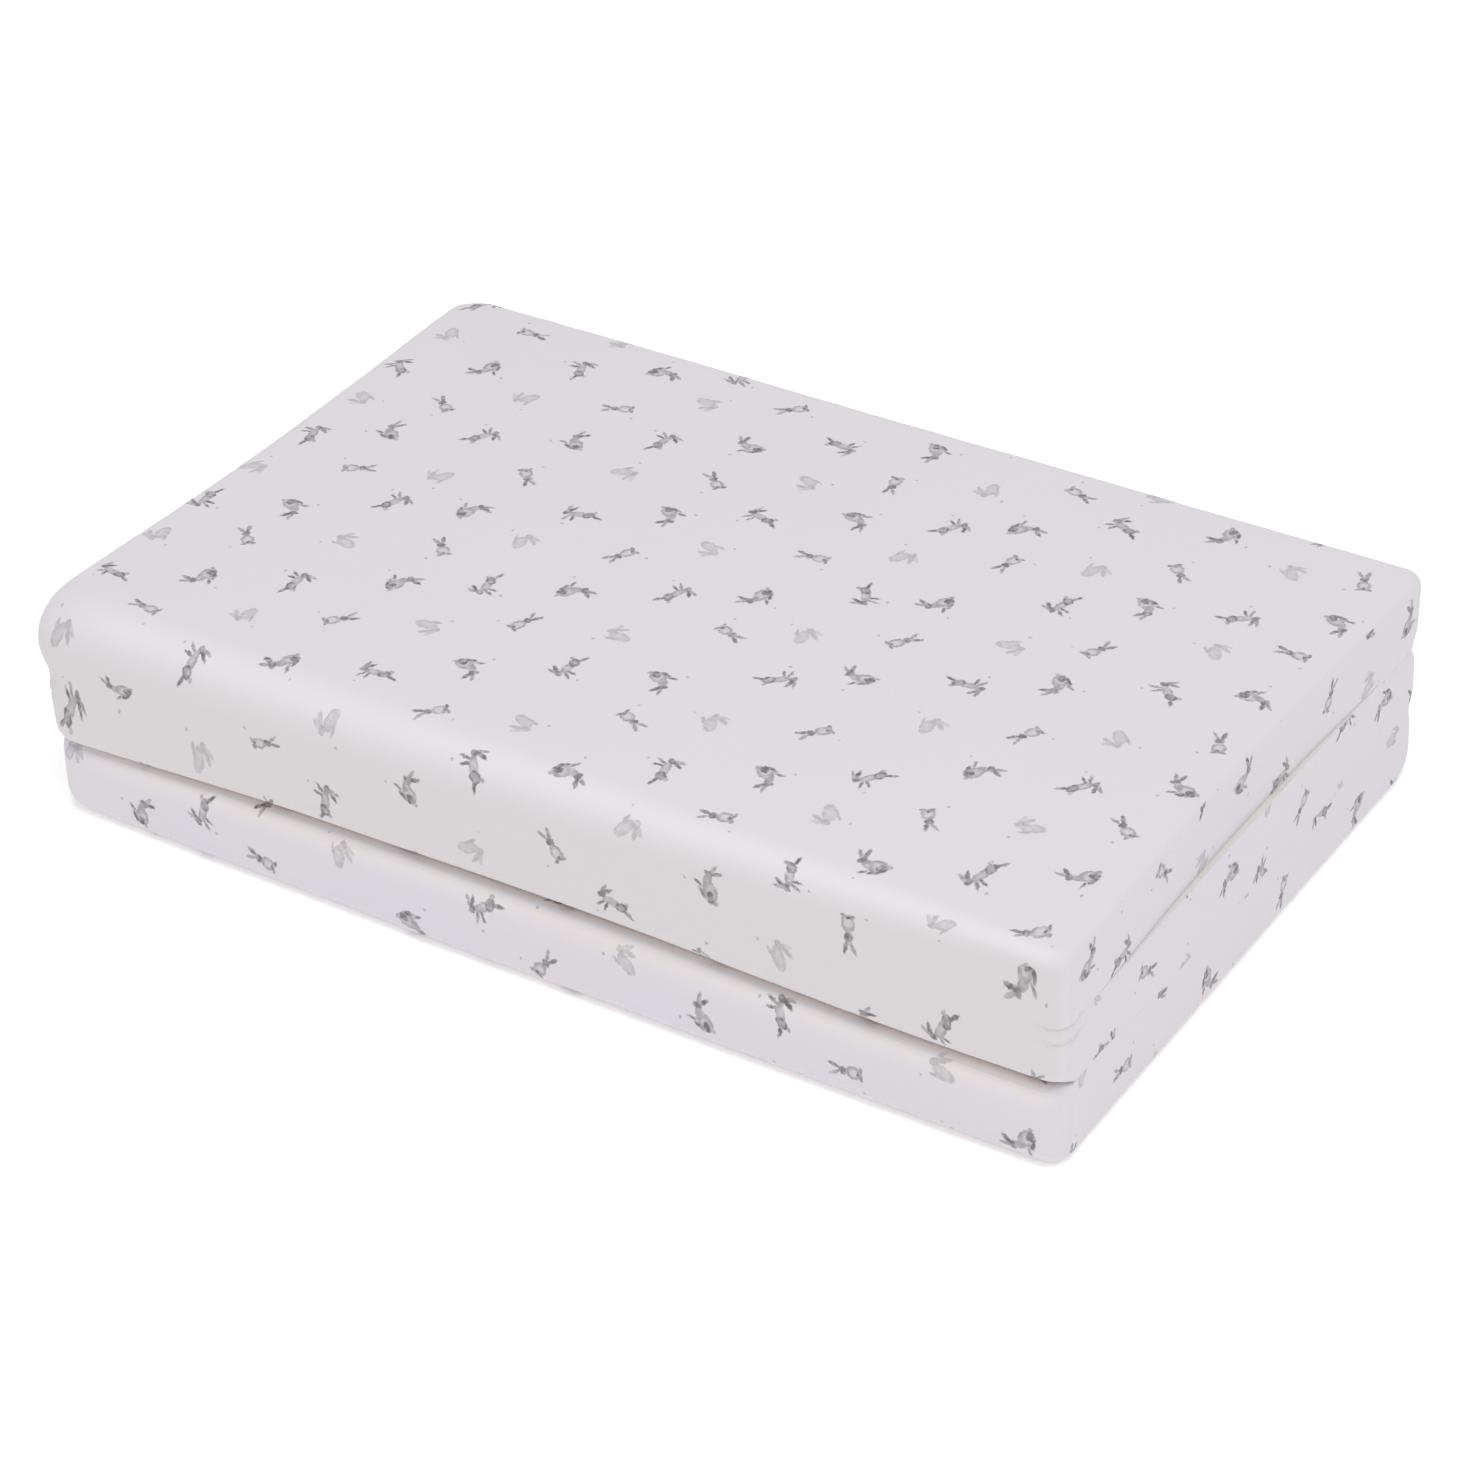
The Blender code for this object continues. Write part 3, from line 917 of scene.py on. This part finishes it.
@dataclass
class CoverSkin:
    """The cover's cloth as one closed skin, with its seams, puckers and creases pressed in."""

    shape: FoldedCover
    # The border seams, their welts and their puckers
    seam_depth: float = 0.00012
    seam_half: float = 0.0011
    deeper_at_fold: float = 2.0
    deeper_lines: float = 14.0
    welt: float = 0.00008
    welt_from_seam: float = 0.0038
    welt_half: float = 0.0018
    pucker: float = 0.00040
    pucker_reach: float = 0.008
    pucker_pitch: float = 0.0065
    pucker_gap: float = 0.0012
    pucker_end: float = 0.012
    pucker_row: float = 7.3
    pucker_side: float = 31.0
    # The cloth's soft unevenness, less near the ground
    soft_wave: float = 0.0004
    wave_scale: float = 11.0
    ripple_scale: float = 26.0
    ripple: float = 0.35
    ripple_shift: tuple[float, float, float] = (5.0, 3.0, 1.0)
    ground_fade: tuple[float, float, float] = (0.004, 0.003, 0.9)
    # The cross seams of the sides, and the gathered creases of the front corners
    cross_seam: float = 0.00025
    cross_seam_lines: float = 1.6
    corner_crease: float = 0.0013
    corner_half: float = 0.0013
    corner_fade: float = 0.012
    corner_curve: float = 22.0
    corner_from_side: float = 0.003
    corner_from_front: float = 0.012
    # Where a slit's faces count as closed, in lines and in metres from its mouth
    slit_lines: int = 8
    slit_past: tuple[int, int] = (3, 5)
    slit_fade: float = 0.012
    slit_starts: tuple[float, float] = (0.014, 0.012)
    closed_distance: float = 0.03

    def __post_init__(self) -> None:
        """Model the box, read each point's lines, fold it and press in its detail."""
        shape = self.shape
        self.last_across, self.last_through = len(shape.stations) - 1, len(shape.shares) - 1
        self.mesh = self.flat_box()
        points = np.array([vert.co[:] for vert in self.mesh.verts])
        self.across = np.rint((points[:, 0] + 0.5) * self.last_across).astype(int)
        self.along = np.rint((points[:, 1] + 0.5) * shape.last).astype(int)
        self.through = np.rint(-points[:, 2]).astype(int)
        self.at_side = (self.across == 0) | (self.across == self.last_across)
        self.at_end = (self.along == 0) | (self.along == shape.last)
        self.on_outer, self.on_other = self.through == 0, self.through == self.last_through
        self.share = np.array(shape.shares)[self.through]
        self.keep_lines()
        self.measure_sections()
        self.points = self.settle(self.fold())
        self.along_width = self.width_lengths()
        self.put()
        if self.mesh.calc_volume(signed=True) < 0:
            bmesh.ops.reverse_faces(self.mesh, faces=self.mesh.faces)
            self.mesh.normal_update()
        self.points = self.points + self.directions() * self.relief()[:, None]
        self.put()
        self.write_tones()
        self.write_cloths()

    def flat_box(self) -> bmesh.types.BMesh:
        """Model the opened mattress as a closed box, one unit thick for each line through it.

        Returns:
            The box.
        """
        bm = bmesh.new()
        last = self.shape.last
        bmesh.ops.create_grid(bm, x_segments=self.last_across, y_segments=last, size=0.5)
        faces = list(bm.faces)
        for layer in range(self.last_through):
            grown = bmesh.ops.extrude_face_region(bm, geom=faces)
            if layer > 0:
                bmesh.ops.delete(bm, geom=faces, context="FACES")
            verts = [item for item in grown["geom"] if isinstance(item, bmesh.types.BMVert)]
            faces = [item for item in grown["geom"] if isinstance(item, bmesh.types.BMFace)]
            bmesh.ops.translate(bm, verts=verts, vec=(0.0, 0.0, -1.0))
        bmesh.ops.recalc_face_normals(bm, faces=bm.faces)
        bm.verts.index_update()
        return bm

    def keep_lines(self) -> None:
        """Write each point's lines to the mesh, so that every piece can read them."""
        layers = [self.mesh.verts.layers.int.new(name) for name in LINE_LAYERS]
        for values, layer in zip((self.across, self.along, self.through), layers):
            for vert, value in zip(self.mesh.verts, values.tolist()):
                vert[layer] = value

    def measure_sections(self) -> None:
        """Work out the section at each line across, and the lengths along its faces."""
        shape = self.shape
        sections = [shape.section(x) for x in shape.stations]
        self.outer, self.other, self.back, self.front = (
            np.array([section[part] for section in sections]) for part in range(4)
        )
        lengths = []
        for face in (self.outer, self.other):
            steps = np.hypot(*np.moveaxis(np.diff(face, axis=1), 2, 0))
            lengths.append(np.pad(np.cumsum(steps, axis=1), ((0, 0), (1, 0))))
        self.outer_length, self.other_length = lengths

    def fold(self) -> np.ndarray:
        """Fold the box.

        Returns:
            Each point's place before the cloth settles.
        """
        shape = self.shape
        k, i, j = self.across, self.along, self.through
        start, end = self.outer[k, i], self.other[k, i]
        share = self.share
        place = start + (end - start) * share[:, None]
        at_back, at_front = i == 0, i == shape.last
        place[at_back] = self.back[k, j][at_back]
        place[at_front] = self.front[k, j][at_front]
        x = np.array(shape.stations)[k]

        span = np.hypot(*(end - start).T)
        length = self.outer_length[k, i]
        endways = np.minimum(length, self.outer_length[k, -1] - length)
        outer_in, other_in = self.slit_faces()
        from_outer = share * span + self.closed_distance * outer_in
        from_other = (1 - share) * span + self.closed_distance * other_in
        depth = np.minimum.reduce([from_outer, from_other, endways])
        full = 1 - (1 - np.clip(depth / shape.side_bulge, 0, 1)) ** 2
        x = x + np.where(self.at_side, np.sign(x) * shape.seam_from_side * full, 0.0)
        self.from_seam = self.seam_distance(from_outer, from_other, endways)
        self.inward = np.column_stack([np.zeros(len(x)), end - start]) / span[:, None]
        self.inward = self.inward * (1 - 2 * share[:, None])
        return np.column_stack([x, place])

    def slit_faces(self) -> tuple[np.ndarray, np.ndarray]:
        """Find where the two faces lie closed in a slit.

        Returns:
            The outer face's shares and the other face's, from 0 outside to 1.
        """
        shape, lines = self.shape, self.slit_lines
        outer_in = smooth((self.along - shape.line_middle + lines) / lines)
        other_in = smooth((shape.line_back_fan + lines / 2 - self.along) / lines)
        return outer_in, other_in

    def seam_distance(
        self, from_outer: np.ndarray, from_other: np.ndarray, endways: np.ndarray
    ) -> np.ndarray:
        """How far each point lies from the nearest border seam, along the cloth.

        Args:
            from_outer: The point's distance from the outer face, through the thickness.
            from_other: Its distance from the other face.
            endways: Its distance from the nearer end, along the outer face.

        Returns:
            The distances.
        """
        shape = self.shape
        stations = np.array(shape.stations)
        insets = np.array([shape.insets(x)[1] for x in stations])
        steps = np.hypot(np.diff(stations), np.diff(insets))
        left = np.concatenate([[0.0], np.cumsum(steps)])
        sideways = np.minimum(left, left[-1] - left)[self.across]
        on_face = self.on_outer | self.on_other
        closed = np.where(self.on_outer, from_outer, from_other)
        sideways = sideways + np.where(on_face, closed, 0.0)
        down = np.minimum(from_outer, from_other)
        end_down = np.minimum(self.share, 1 - self.share) * shape.panel
        down = np.where(self.at_end, end_down, down)
        distance = np.where(on_face, np.minimum(sideways, endways), 1.0)
        beside = np.minimum(distance, np.minimum(down, endways))
        distance = np.where(self.at_side, beside, distance)
        beyond = np.minimum(distance, np.minimum(down, sideways))
        return np.where(self.at_end, beyond, distance)

    def width_lengths(self) -> np.ndarray:
        """How far each point lies from the middle of the width, along the cloth.

        Returns:
            The lengths, negative to the left.
        """
        order = np.lexsort((self.across, self.through, self.along))
        placed = self.points[order]
        steps = np.linalg.norm(np.diff(placed, axis=0), axis=1)
        length = np.concatenate([[0.0], np.cumsum(steps)])
        lines = np.column_stack([self.along, self.through])[order]
        row = np.concatenate([[0], np.cumsum(np.any(np.diff(lines, axis=0) != 0, axis=1))])
        middle = self.across[order] == len(self.shape.stations) // 2
        start = np.full(row[-1] + 1, np.nan)
        start[row[middle]] = length[middle]
        found = length - start[row]
        result = np.empty(len(placed))
        result[order] = np.where(np.isnan(found), placed[:, 0], found)
        return result

    def settle(self, points: np.ndarray) -> np.ndarray:
        """Draw the sides in, bow the front and raise the crown, as in the part's solids.

        Args:
            points: The points as folded.

        Returns:
            The points as settled.
        """
        shape = self.shape
        x, y, z = points.T
        front_lines = shape.line_middle - shape.line_fan
        to_middle = (self.along - shape.line_fan) / front_lines
        to_bottom = smooth(
            (self.along - shape.line_back_fan) / (shape.line_bottom - shape.line_back_fan)
        )
        narrow = np.zeros(len(x))
        for side in Side:
            top, middle, bottom = (self.drawn_in(panel, side, y) for panel in Panel)
            drop = 0.0 if side is Side.RIGHT else shape.left_drop_lines / front_lines
            reach = top + (middle - top) * smooth(to_middle - drop)
            reach = reach + (bottom - reach) * to_bottom
            narrow = np.where(np.sign(x) == side.value, reach, narrow)
        across = np.clip(1 - (x / shape.half_width) ** 2, 0, 1)
        along = np.clip(1 - (y / shape.half_depth) ** 2, 0, 1)
        base = 2 * shape.panel + shape.high_slit
        lift = np.clip((z - base) / (shape.height - base), 0, 1)
        bow = shape.front_bow * (0.5 + across * np.minimum(0, y) / shape.half_depth)
        return np.column_stack(
            [x * (1 - narrow / shape.half_width), y + bow, z + shape.crown * lift * across * along]
        )

    def drawn_in(self, panel: Panel, side: Side, y: np.ndarray) -> np.ndarray:
        """How far one side of a panel comes in.

        Args:
            panel: The panel.
            side: The side of it.
            y: The depths to read.

        Returns:
            How far it comes in at each depth.
        """
        shape = self.shape
        face, front, middle, back = DRAWN_IN[panel, side]
        reach = shape.half_depth - shape.web - shape.side_margin
        share = np.clip((y + reach) / (2 * reach), 0, 1)
        inner = front + share * (back - front)
        inner = inner + np.sin(np.pi * share) * (middle - (front + back) / 2)
        edge = smooth((y + shape.half_depth) / (shape.half_depth - reach))
        return (face + (inner - face) * edge) * MM

    def inside(self) -> np.ndarray:
        """Find how deep in the slit between two panels each point lies.

        Returns:
            The shares, from 0 outside to 1.
        """
        shape = self.shape
        y = self.points[:, 1]
        past_high, past_low = self.slit_past
        from_back, from_front = self.slit_starts
        high = self.on_other & (self.along < shape.line_back_fan + past_high)
        low = self.on_outer & (self.along > shape.line_middle - past_low)
        high = high * smooth((shape.half_depth - from_back - y) / self.slit_fade)
        return high + low * smooth((y + shape.half_depth - from_front) / self.slit_fade)

    def directions(self) -> np.ndarray:
        """Find the way in which the relief moves each point.

        Returns:
            The normals, turned straight to the side at the slits' seams.
        """
        normals = np.array([vert.normal[:] for vert in self.mesh.verts])
        share = (self.at_side * self.inside())[:, None]
        sideways = np.column_stack([np.sign(self.points[:, 0]), np.zeros((len(normals), 2))])
        return normals * (1 - share) + sideways * share

    def relief(self) -> np.ndarray:
        """Add up the seams, puckers, waves and creases.

        Returns:
            How far each point stands off the folded shape.
        """
        start, fade, most = self.ground_fade
        under = smooth((start - self.points[:, 2]) / fade)
        depth = np.where(self.at_side, 0.0, self.inside())
        free = (1 - depth) * (1 - most * under)
        return free * (self.seams() + self.waves() + self.cross_seams() + self.corner_creases())

    def seams(self) -> np.ndarray:
        """Press in the border seams, with the welt beside them and the puckers.

        Returns:
            How far each point moves.
        """
        shape, seam = self.shape, self.from_seam
        at_fold = bell(self.along - shape.line_front, self.deeper_lines)
        groove = self.seam_depth * (1 + self.deeper_at_fold * at_fold) * bell(seam, self.seam_half)
        welt = self.welt * bell(seam - self.welt_from_seam, self.welt_half)
        near = bell(seam, self.pucker_reach) * (1 - bell(seam, self.pucker_gap))
        length = self.outer_length[self.across, self.along]
        ends = self.at_end | (length < self.pucker_end)
        track = np.where(ends, self.points[:, 0], length) / self.pucker_pitch
        row = np.where(self.through < len(shape.shares) / 2, 0.0, self.pucker_row)
        row = row + np.sign(self.points[:, 0]) * self.pucker_side
        drawn = np.array([noise.noise((t, r, 0.0)) for t, r in zip(track, row)])
        return welt - groove + self.pucker * drawn * near

    def waves(self) -> np.ndarray:
        """Make the cloth softly uneven.

        Returns:
            How far each point moves.
        """
        shift = Vector(self.ripple_shift)
        places = [Vector(point) for point in self.points]
        wave = np.array([noise.noise(place * self.wave_scale) for place in places])
        ripple = np.array([noise.noise(place * self.ripple_scale + shift) for place in places])
        return self.soft_wave * (wave + self.ripple * ripple)

    def cross_seams(self) -> np.ndarray:
        """Press in the seams across the side borders, at the middle of each fold.

        Returns:
            How far each point moves.
        """
        press = np.zeros(len(self.along))
        for middle in (self.shape.line_front, self.shape.line_back):
            press = press + bell(self.along - middle, self.cross_seam_lines)
        return np.where(self.at_side, -self.cross_seam * press, 0.0)

    def corner_creases(self) -> np.ndarray:
        """Press in the gathered creases at the front fold's corners.

        Returns:
            How far each point moves.
        """
        shape = self.shape
        x, y, z = self.points.T
        corner = shape.half_width - self.corner_from_side - np.abs(x)
        behind = y + shape.half_depth - self.corner_from_front
        reach = np.hypot(np.maximum(0, corner), np.maximum(0, behind))
        height = z - 2 * shape.panel + np.where(x < 0, shape.left_drop, 0.0)
        press = np.zeros(len(x))
        for start, lean in CORNER_CREASES:
            ridge = height - start - lean * reach - self.corner_curve * reach**2
            press = press + bell(ridge, self.corner_half)
        return -self.corner_crease * press * bell(reach, self.corner_fade) * (y < 0)

    def slit_bounce_light(self) -> np.ndarray:
        """Find where the middle panel's top shows past the top panel's side, for painted bounce
        light.

        Returns:
            The shares, from 0 to 1.
        """
        tones, shape = ToneReach(), self.shape
        steps = np.minimum(self.across, self.last_across - self.across)
        ledge = self.on_other & (self.along > shape.line_front)
        ledge = ledge & (self.along < shape.line_back_fan)
        front, back = tones.ledge_ends
        y = self.points[:, 1]
        ends = smooth((y - front) / tones.ledge_fade) * smooth((back - y) / tones.ledge_fade)
        return ledge * ends * np.interp(steps, tones.ledge_steps, tones.ledge_shares)

    def fold_shade(self) -> np.ndarray:
        """Find the painted shade on the front fold's face, and the warm painted bounce light under
        its lip.

        Returns:
            The shares: to 0.5 for the fold's face, and to 1 in the shade.
        """
        tones, shape = ToneReach(), self.shape
        behind = self.points[:, 1] + shape.half_depth
        from_side = shape.half_width - np.abs(self.points[:, 0])
        under = self.along > shape.line_middle - tones.under_lines
        under = under * smooth((behind - tones.under_start) / tones.under_rise)
        under = under * (1 - smooth((behind - tones.under_end) / tones.under_fade))
        under = under * smooth((from_side - tones.under_side) / tones.under_side_fade)
        face = smooth((self.along - shape.line_fan - tones.face_start) / tones.face_rise)
        face = face * (self.along < shape.line_middle - tones.face_end)
        face = face * smooth(from_side / tones.face_side_fade)
        return self.on_outer * np.maximum(under, 0.5 * face)

    def ridge_highlight(self) -> np.ndarray:
        """Find where a painted highlight lies along the front fold's upper edge and the front
        strip's.

        Returns:
            The shares, from 0 to 1.
        """
        tones, shape = ToneReach(), self.shape
        fades = tones.ridge_side_fades
        fade = np.where(self.across < len(shape.stations) // 2, fades[0], fades[1])
        from_side = shape.half_width - tones.ridge_side - np.abs(self.points[:, 0])
        band = bell(self.along - shape.line_fan - tones.ridge_line, tones.ridge_lines)
        strip = (self.along == shape.last) * bell(self.share * shape.panel, tones.strip_reach)
        return smooth(from_side / fade) * (band * self.on_outer + strip)

    def put(self) -> None:
        """Move the mesh's points to where they now are."""
        for vert, place in zip(self.mesh.verts, self.points.tolist()):
            vert.co = place
        self.mesh.normal_update()

    def write_tones(self) -> None:
        """Mark the points with the shares of the painted light and shade, and the way inwards."""
        verts = self.mesh.verts
        tones = (self.slit_bounce_light(), self.fold_shade(), self.ridge_highlight())
        for name, shares in zip(TONE_LAYERS, tones):
            layer = verts.layers.float.new(name)
            for vert, share in zip(verts, shares.tolist()):
                vert[layer] = share
        layer = verts.layers.float_vector.new("inward")
        for vert, direction in zip(verts, self.inward.tolist()):
            vert[layer] = direction

    def write_cloths(self) -> None:
        """Mark the faces with their cloth, and lay each cloth out in metres."""
        shape = self.shape
        bm = self.mesh
        uv = bm.loops.layers.uv.new("cloth")
        part = bm.faces.layers.int.new("part")
        middle = len(shape.stations) // 2
        outer, other = self.outer_length[middle], self.other_length[middle]
        k, i, j = self.across.tolist(), self.along.tolist(), self.through.tolist()
        x = self.along_width.tolist()
        depth, height = self.points[:, 1].tolist(), self.points[:, 2].tolist()
        for face in bm.faces:
            ids = [loop.vert.index for loop in face.loops]
            cloth = self.cloth_of([k[v] for v in ids], [i[v] for v in ids], [j[v] for v in ids])
            face[part] = cloth
            for loop in face.loops:
                v = loop.vert.index
                down = shape.shares[j[v]] * shape.panel
                if cloth == Cloth.OUTER:
                    loop[uv].uv = (x[v], outer[i[v]])
                elif cloth == Cloth.OTHER:
                    loop[uv].uv = (x[v], other[i[v]] + OTHER_SHIFT)
                elif cloth == Cloth.BACK_END:
                    loop[uv].uv = (x[v], -down)
                elif cloth == Cloth.FRONT_END:
                    loop[uv].uv = (x[v], outer[-1] + down)
                else:
                    loop[uv].uv = (depth[v] + 2 * cloth, height[v] + SIDE_SHIFT)

    def cloth_of(self, across: list[int], along: list[int], through: list[int]) -> Cloth:
        """Find which cloth a face belongs to.

        Args:
            across: Its points' lines across.
            along: Their lines along.
            through: Their lines through.

        Returns:
            The cloth.
        """
        shape = self.shape
        if max(along) == 0:
            return Cloth.BACK_END
        if min(along) == shape.last:
            return Cloth.FRONT_END
        if max(through) == 0:
            return Cloth.OUTER
        if min(through) == self.last_through:
            return Cloth.OTHER
        first = Cloth.TOP_LEFT if max(across) == 0 else Cloth.TOP_RIGHT
        middle = (min(along) + max(along)) / 2
        return Cloth(first + (middle > shape.line_front) + (middle > shape.line_back))


@dataclass
class PadCover:
    """The filled pad: the whole cover, with a shallow rebate under its borders."""

    skin: CoverSkin
    rebate: float = 0.0022
    lean: float = 0.0005
    fill: float = 0.9

    def build(self, cloth: bpy.types.Material) -> bpy.types.Object:
        """Build the pad.

        Args:
            cloth: Its material.

        Returns:
            The pad's object.
        """
        shape = self.skin.shape
        bm = self.skin.mesh.copy()
        part = bm.faces.layers.int["part"]
        covered = [face for face in bm.faces if face[part] not in (Cloth.OUTER, Cloth.OTHER)]
        grown = bmesh.ops.extrude_face_region(bm, geom=covered)
        verts = [item for item in grown["geom"] if isinstance(item, bmesh.types.BMVert)]
        bmesh.ops.delete(bm, geom=covered, context="FACES")
        across, along, _ = (bm.verts.layers.int[name] for name in LINE_LAYERS)
        inward = bm.verts.layers.float_vector["inward"]
        for vert in verts:
            vert.co += vert[inward] * self.lean
            if vert[across] in (0, self.skin.last_across):
                vert.co.x += self.rebate if vert[across] == 0 else -self.rebate
            if vert[along] in (0, shape.last):
                vert.co.y += -self.rebate if vert[along] == 0 else self.rebate
        piece = make_piece("cloth_pad", bm, cloth)
        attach(piece, "root")
        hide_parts("folded_pad")
        return piece


@dataclass
class BorderStrip:
    """One border strip of the cover, sewn in along both of its long edges."""

    name: str
    part: Cloth
    flat: tuple[float, float]
    thickness: float = 0.0014
    lean: float = 0.0002
    least_move: float = 0.0001

    def build(self, skin: CoverSkin, cloth: bpy.types.Material) -> bpy.types.Object:
        """Build the strip.

        Args:
            skin: The cover's skin, which the strip is a part of.
            cloth: Its material.

        Returns:
            The strip's object.
        """
        bm = skin.mesh.copy()
        part = bm.faces.layers.int["part"]
        others = [face for face in bm.faces if face[part] != self.part]
        bmesh.ops.delete(bm, geom=others, context="FACES")
        outside = {vert: vert.co.copy() for vert in bm.verts}
        bmesh.ops.solidify(bm, geom=list(bm.faces), thickness=self.thickness)
        inside = []
        for vert in bm.verts:
            if vert not in outside or (vert.co - outside[vert]).length > self.least_move:
                inside.append(vert)
        self.mitre(bm, inside, skin)
        piece = make_piece("strip_" + self.name, bm, cloth)
        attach(piece, "root")
        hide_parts("border_" + self.name)
        return piece

    def mitre(self, bm: bmesh.types.BMesh, inside: list, skin: CoverSkin) -> None:
        """Lean the strip's edges inwards, and cut its corners aslant where it meets another.

        Args:
            bm: The strip's mesh.
            inside: The points of its inner face.
            skin: The cover's skin.
        """
        across, along, _ = (bm.verts.layers.int[name] for name in LINE_LAYERS)
        inward = bm.verts.layers.float_vector["inward"]
        reach = self.thickness + self.lean
        for vert in inside:
            vert.co += vert[inward] * self.lean
            at_side = vert[across] in (0, skin.last_across)
            if not at_side or vert[along] not in (0, skin.shape.last):
                continue
            if self.part in (Cloth.BACK_END, Cloth.FRONT_END):
                vert.co.x -= math.copysign(reach, vert.co.x)
            else:
                vert.co.y -= math.copysign(reach, vert.co.y)


@dataclass
class Studio:
    """A white floor, even light from all round, and the photograph's viewpoint."""

    azimuth: float = 32.856
    elevation: float = 33.479
    roll: float = -1.225
    distance: float = 2.2662
    lens: float = 108.73
    sensor: float = 36.0
    aim: tuple[float, float, float] = (0.0, 0.0, 0.06)
    shift_right: float = 0.00063
    shift_up: float = -0.02137
    floor_size: float = 12.0
    floor_level: float = -0.0004
    floor_white: tuple[float, float, float, float] = (0.970, 0.962, 0.955, 1.0)
    floor_roughness: float = 0.9
    floor_shine: float = 0.1
    floor_glow: float = 0.20
    surround: float = 0.80
    key_place: tuple[float, float, float] = (0.58, -0.66, 2.6)
    key_size: float = 1.4
    key_power: float = 21.8
    key_colour: Colour = (0.97, 0.98, 1.0)

    def build(self) -> None:
        """Lay the floor and set the light and the camera."""
        self.lay_floor()
        self.light()
        self.place_camera()
        bpy.context.scene.view_settings.view_transform = "Standard"

    def lay_floor(self) -> None:
        """Lay the floor, just under the mattress."""
        bm = bmesh.new()
        bmesh.ops.create_grid(bm, x_segments=4, y_segments=4, size=self.floor_size / 2)
        bmesh.ops.translate(bm, verts=bm.verts, vec=(0.0, 0.0, self.floor_level))
        material = bpy.data.materials.new("floor_white")
        material.use_nodes = True
        shader = material.node_tree.nodes["Principled BSDF"]
        shader.inputs["Base Color"].default_value = self.floor_white
        shader.inputs["Roughness"].default_value = self.floor_roughness
        shader.inputs["Specular IOR Level"].default_value = self.floor_shine
        shader.inputs["Emission Color"].default_value = (1.0, 1.0, 1.0, 1.0)
        shader.inputs["Emission Strength"].default_value = self.floor_glow
        make_piece("floor", bm, material)

    def light(self) -> None:
        """Set an even white surround, and hang one large soft light that faces the mattress."""
        world = bpy.data.worlds.new("surround")
        world.use_nodes = True
        background = world.node_tree.nodes["Background"]
        background.inputs["Color"].default_value = (1.0, 1.0, 1.0, 1.0)
        background.inputs["Strength"].default_value = self.surround
        bpy.context.scene.world = world
        data = bpy.data.lights.new("key", "AREA")
        data.shape = "DISK"
        data.size = self.key_size
        data.energy = self.key_power
        data.color = self.key_colour
        lamp = bpy.data.objects.new("key", data)
        lamp.location = self.key_place
        facing = Vector(self.aim) - Vector(self.key_place)
        lamp.rotation_euler = facing.to_track_quat("-Z", "Y").to_euler()
        bpy.context.scene.collection.objects.link(lamp)

    def place_camera(self) -> None:
        """Stand the camera where the photograph was taken from."""
        az, el, roll = (math.radians(a) for a in (self.azimuth, self.elevation, self.roll))
        back = Vector((math.sin(az) * math.cos(el), -math.cos(az) * math.cos(el), math.sin(el)))
        level = (-back).cross(Vector((0.0, 0.0, 1.0))).normalized()
        rise = level.cross(-back)
        right = level * math.cos(roll) + rise * math.sin(roll)
        up = rise * math.cos(roll) - level * math.sin(roll)
        place = Vector(self.aim) + right * self.shift_right + up * self.shift_up
        place = place + back * self.distance
        turn = Matrix((right, up, back)).transposed().to_4x4()
        data = bpy.data.cameras.new("camera")
        data.lens = self.lens
        data.sensor_width = self.sensor
        camera = bpy.data.objects.new("camera", data)
        camera.matrix_world = Matrix.Translation(place) @ turn
        bpy.context.scene.collection.objects.link(camera)
        bpy.context.scene.camera = camera


def make_piece(name: str, bm: bmesh.types.BMesh, material: bpy.types.Material) -> bpy.types.Object:
    """Make an object of a finished mesh.

    Args:
        name: The object's name.
        bm: Its mesh, which is freed.
        material: Its material.

    Returns:
        The object, at the origin.
    """
    mesh = bpy.data.meshes.new(name)
    bm.to_mesh(mesh)
    bm.free()
    mesh.shade_smooth()
    mesh.set_sharp_from_angle(angle=math.radians(SHARP_ANGLE))
    mesh.materials.append(material)
    piece = bpy.data.objects.new(name, mesh)
    bpy.context.scene.collection.objects.link(piece)
    LOG.info("%s: %d faces", name, len(mesh.polygons))
    return piece


# The border strips, each with its cloth and its flat size
STRIPS = (
    BorderStrip("top_left", Cloth.TOP_LEFT, (0.038, 0.385)),
    BorderStrip("middle_left", Cloth.MIDDLE_LEFT, (0.0405, 0.385)),
    BorderStrip("bottom_left", Cloth.BOTTOM_LEFT, (0.038, 0.385)),
    BorderStrip("top_right", Cloth.TOP_RIGHT, (0.038, 0.385)),
    BorderStrip("middle_right", Cloth.MIDDLE_RIGHT, (0.0405, 0.385)),
    BorderStrip("bottom_right", Cloth.BOTTOM_RIGHT, (0.038, 0.385)),
    BorderStrip("top_back", Cloth.BACK_END, (0.600, 0.038)),
    BorderStrip("bottom_front", Cloth.FRONT_END, (0.600, 0.044)),
)

# The cottons of the pad and of the borders
PAD_COTTON = ClothFinish("printed_cotton", (0.688, 0.654, 0.687))
# The borders' painted highlight along the front strip's top edge is warmer
BORDER_COTTON = ClothFinish(
    "border_cotton", (0.674, 0.646, 0.685), ridge_highlight=(0.735, 0.688, 0.690)
)


def main() -> None:
    """Build the mattress, light it and set the camera."""
    logging.basicConfig(level=logging.INFO)
    skin = CoverSkin(FoldedCover())
    maker = CottonMaker()
    pad_cloth, border_cloth = maker.make(PAD_COTTON), maker.make(BORDER_COTTON)
    PadCover(skin).build(pad_cloth)
    for strip in STRIPS:
        strip.build(skin, border_cloth)
    Studio().build()


if __name__ == "__main__":
    main()
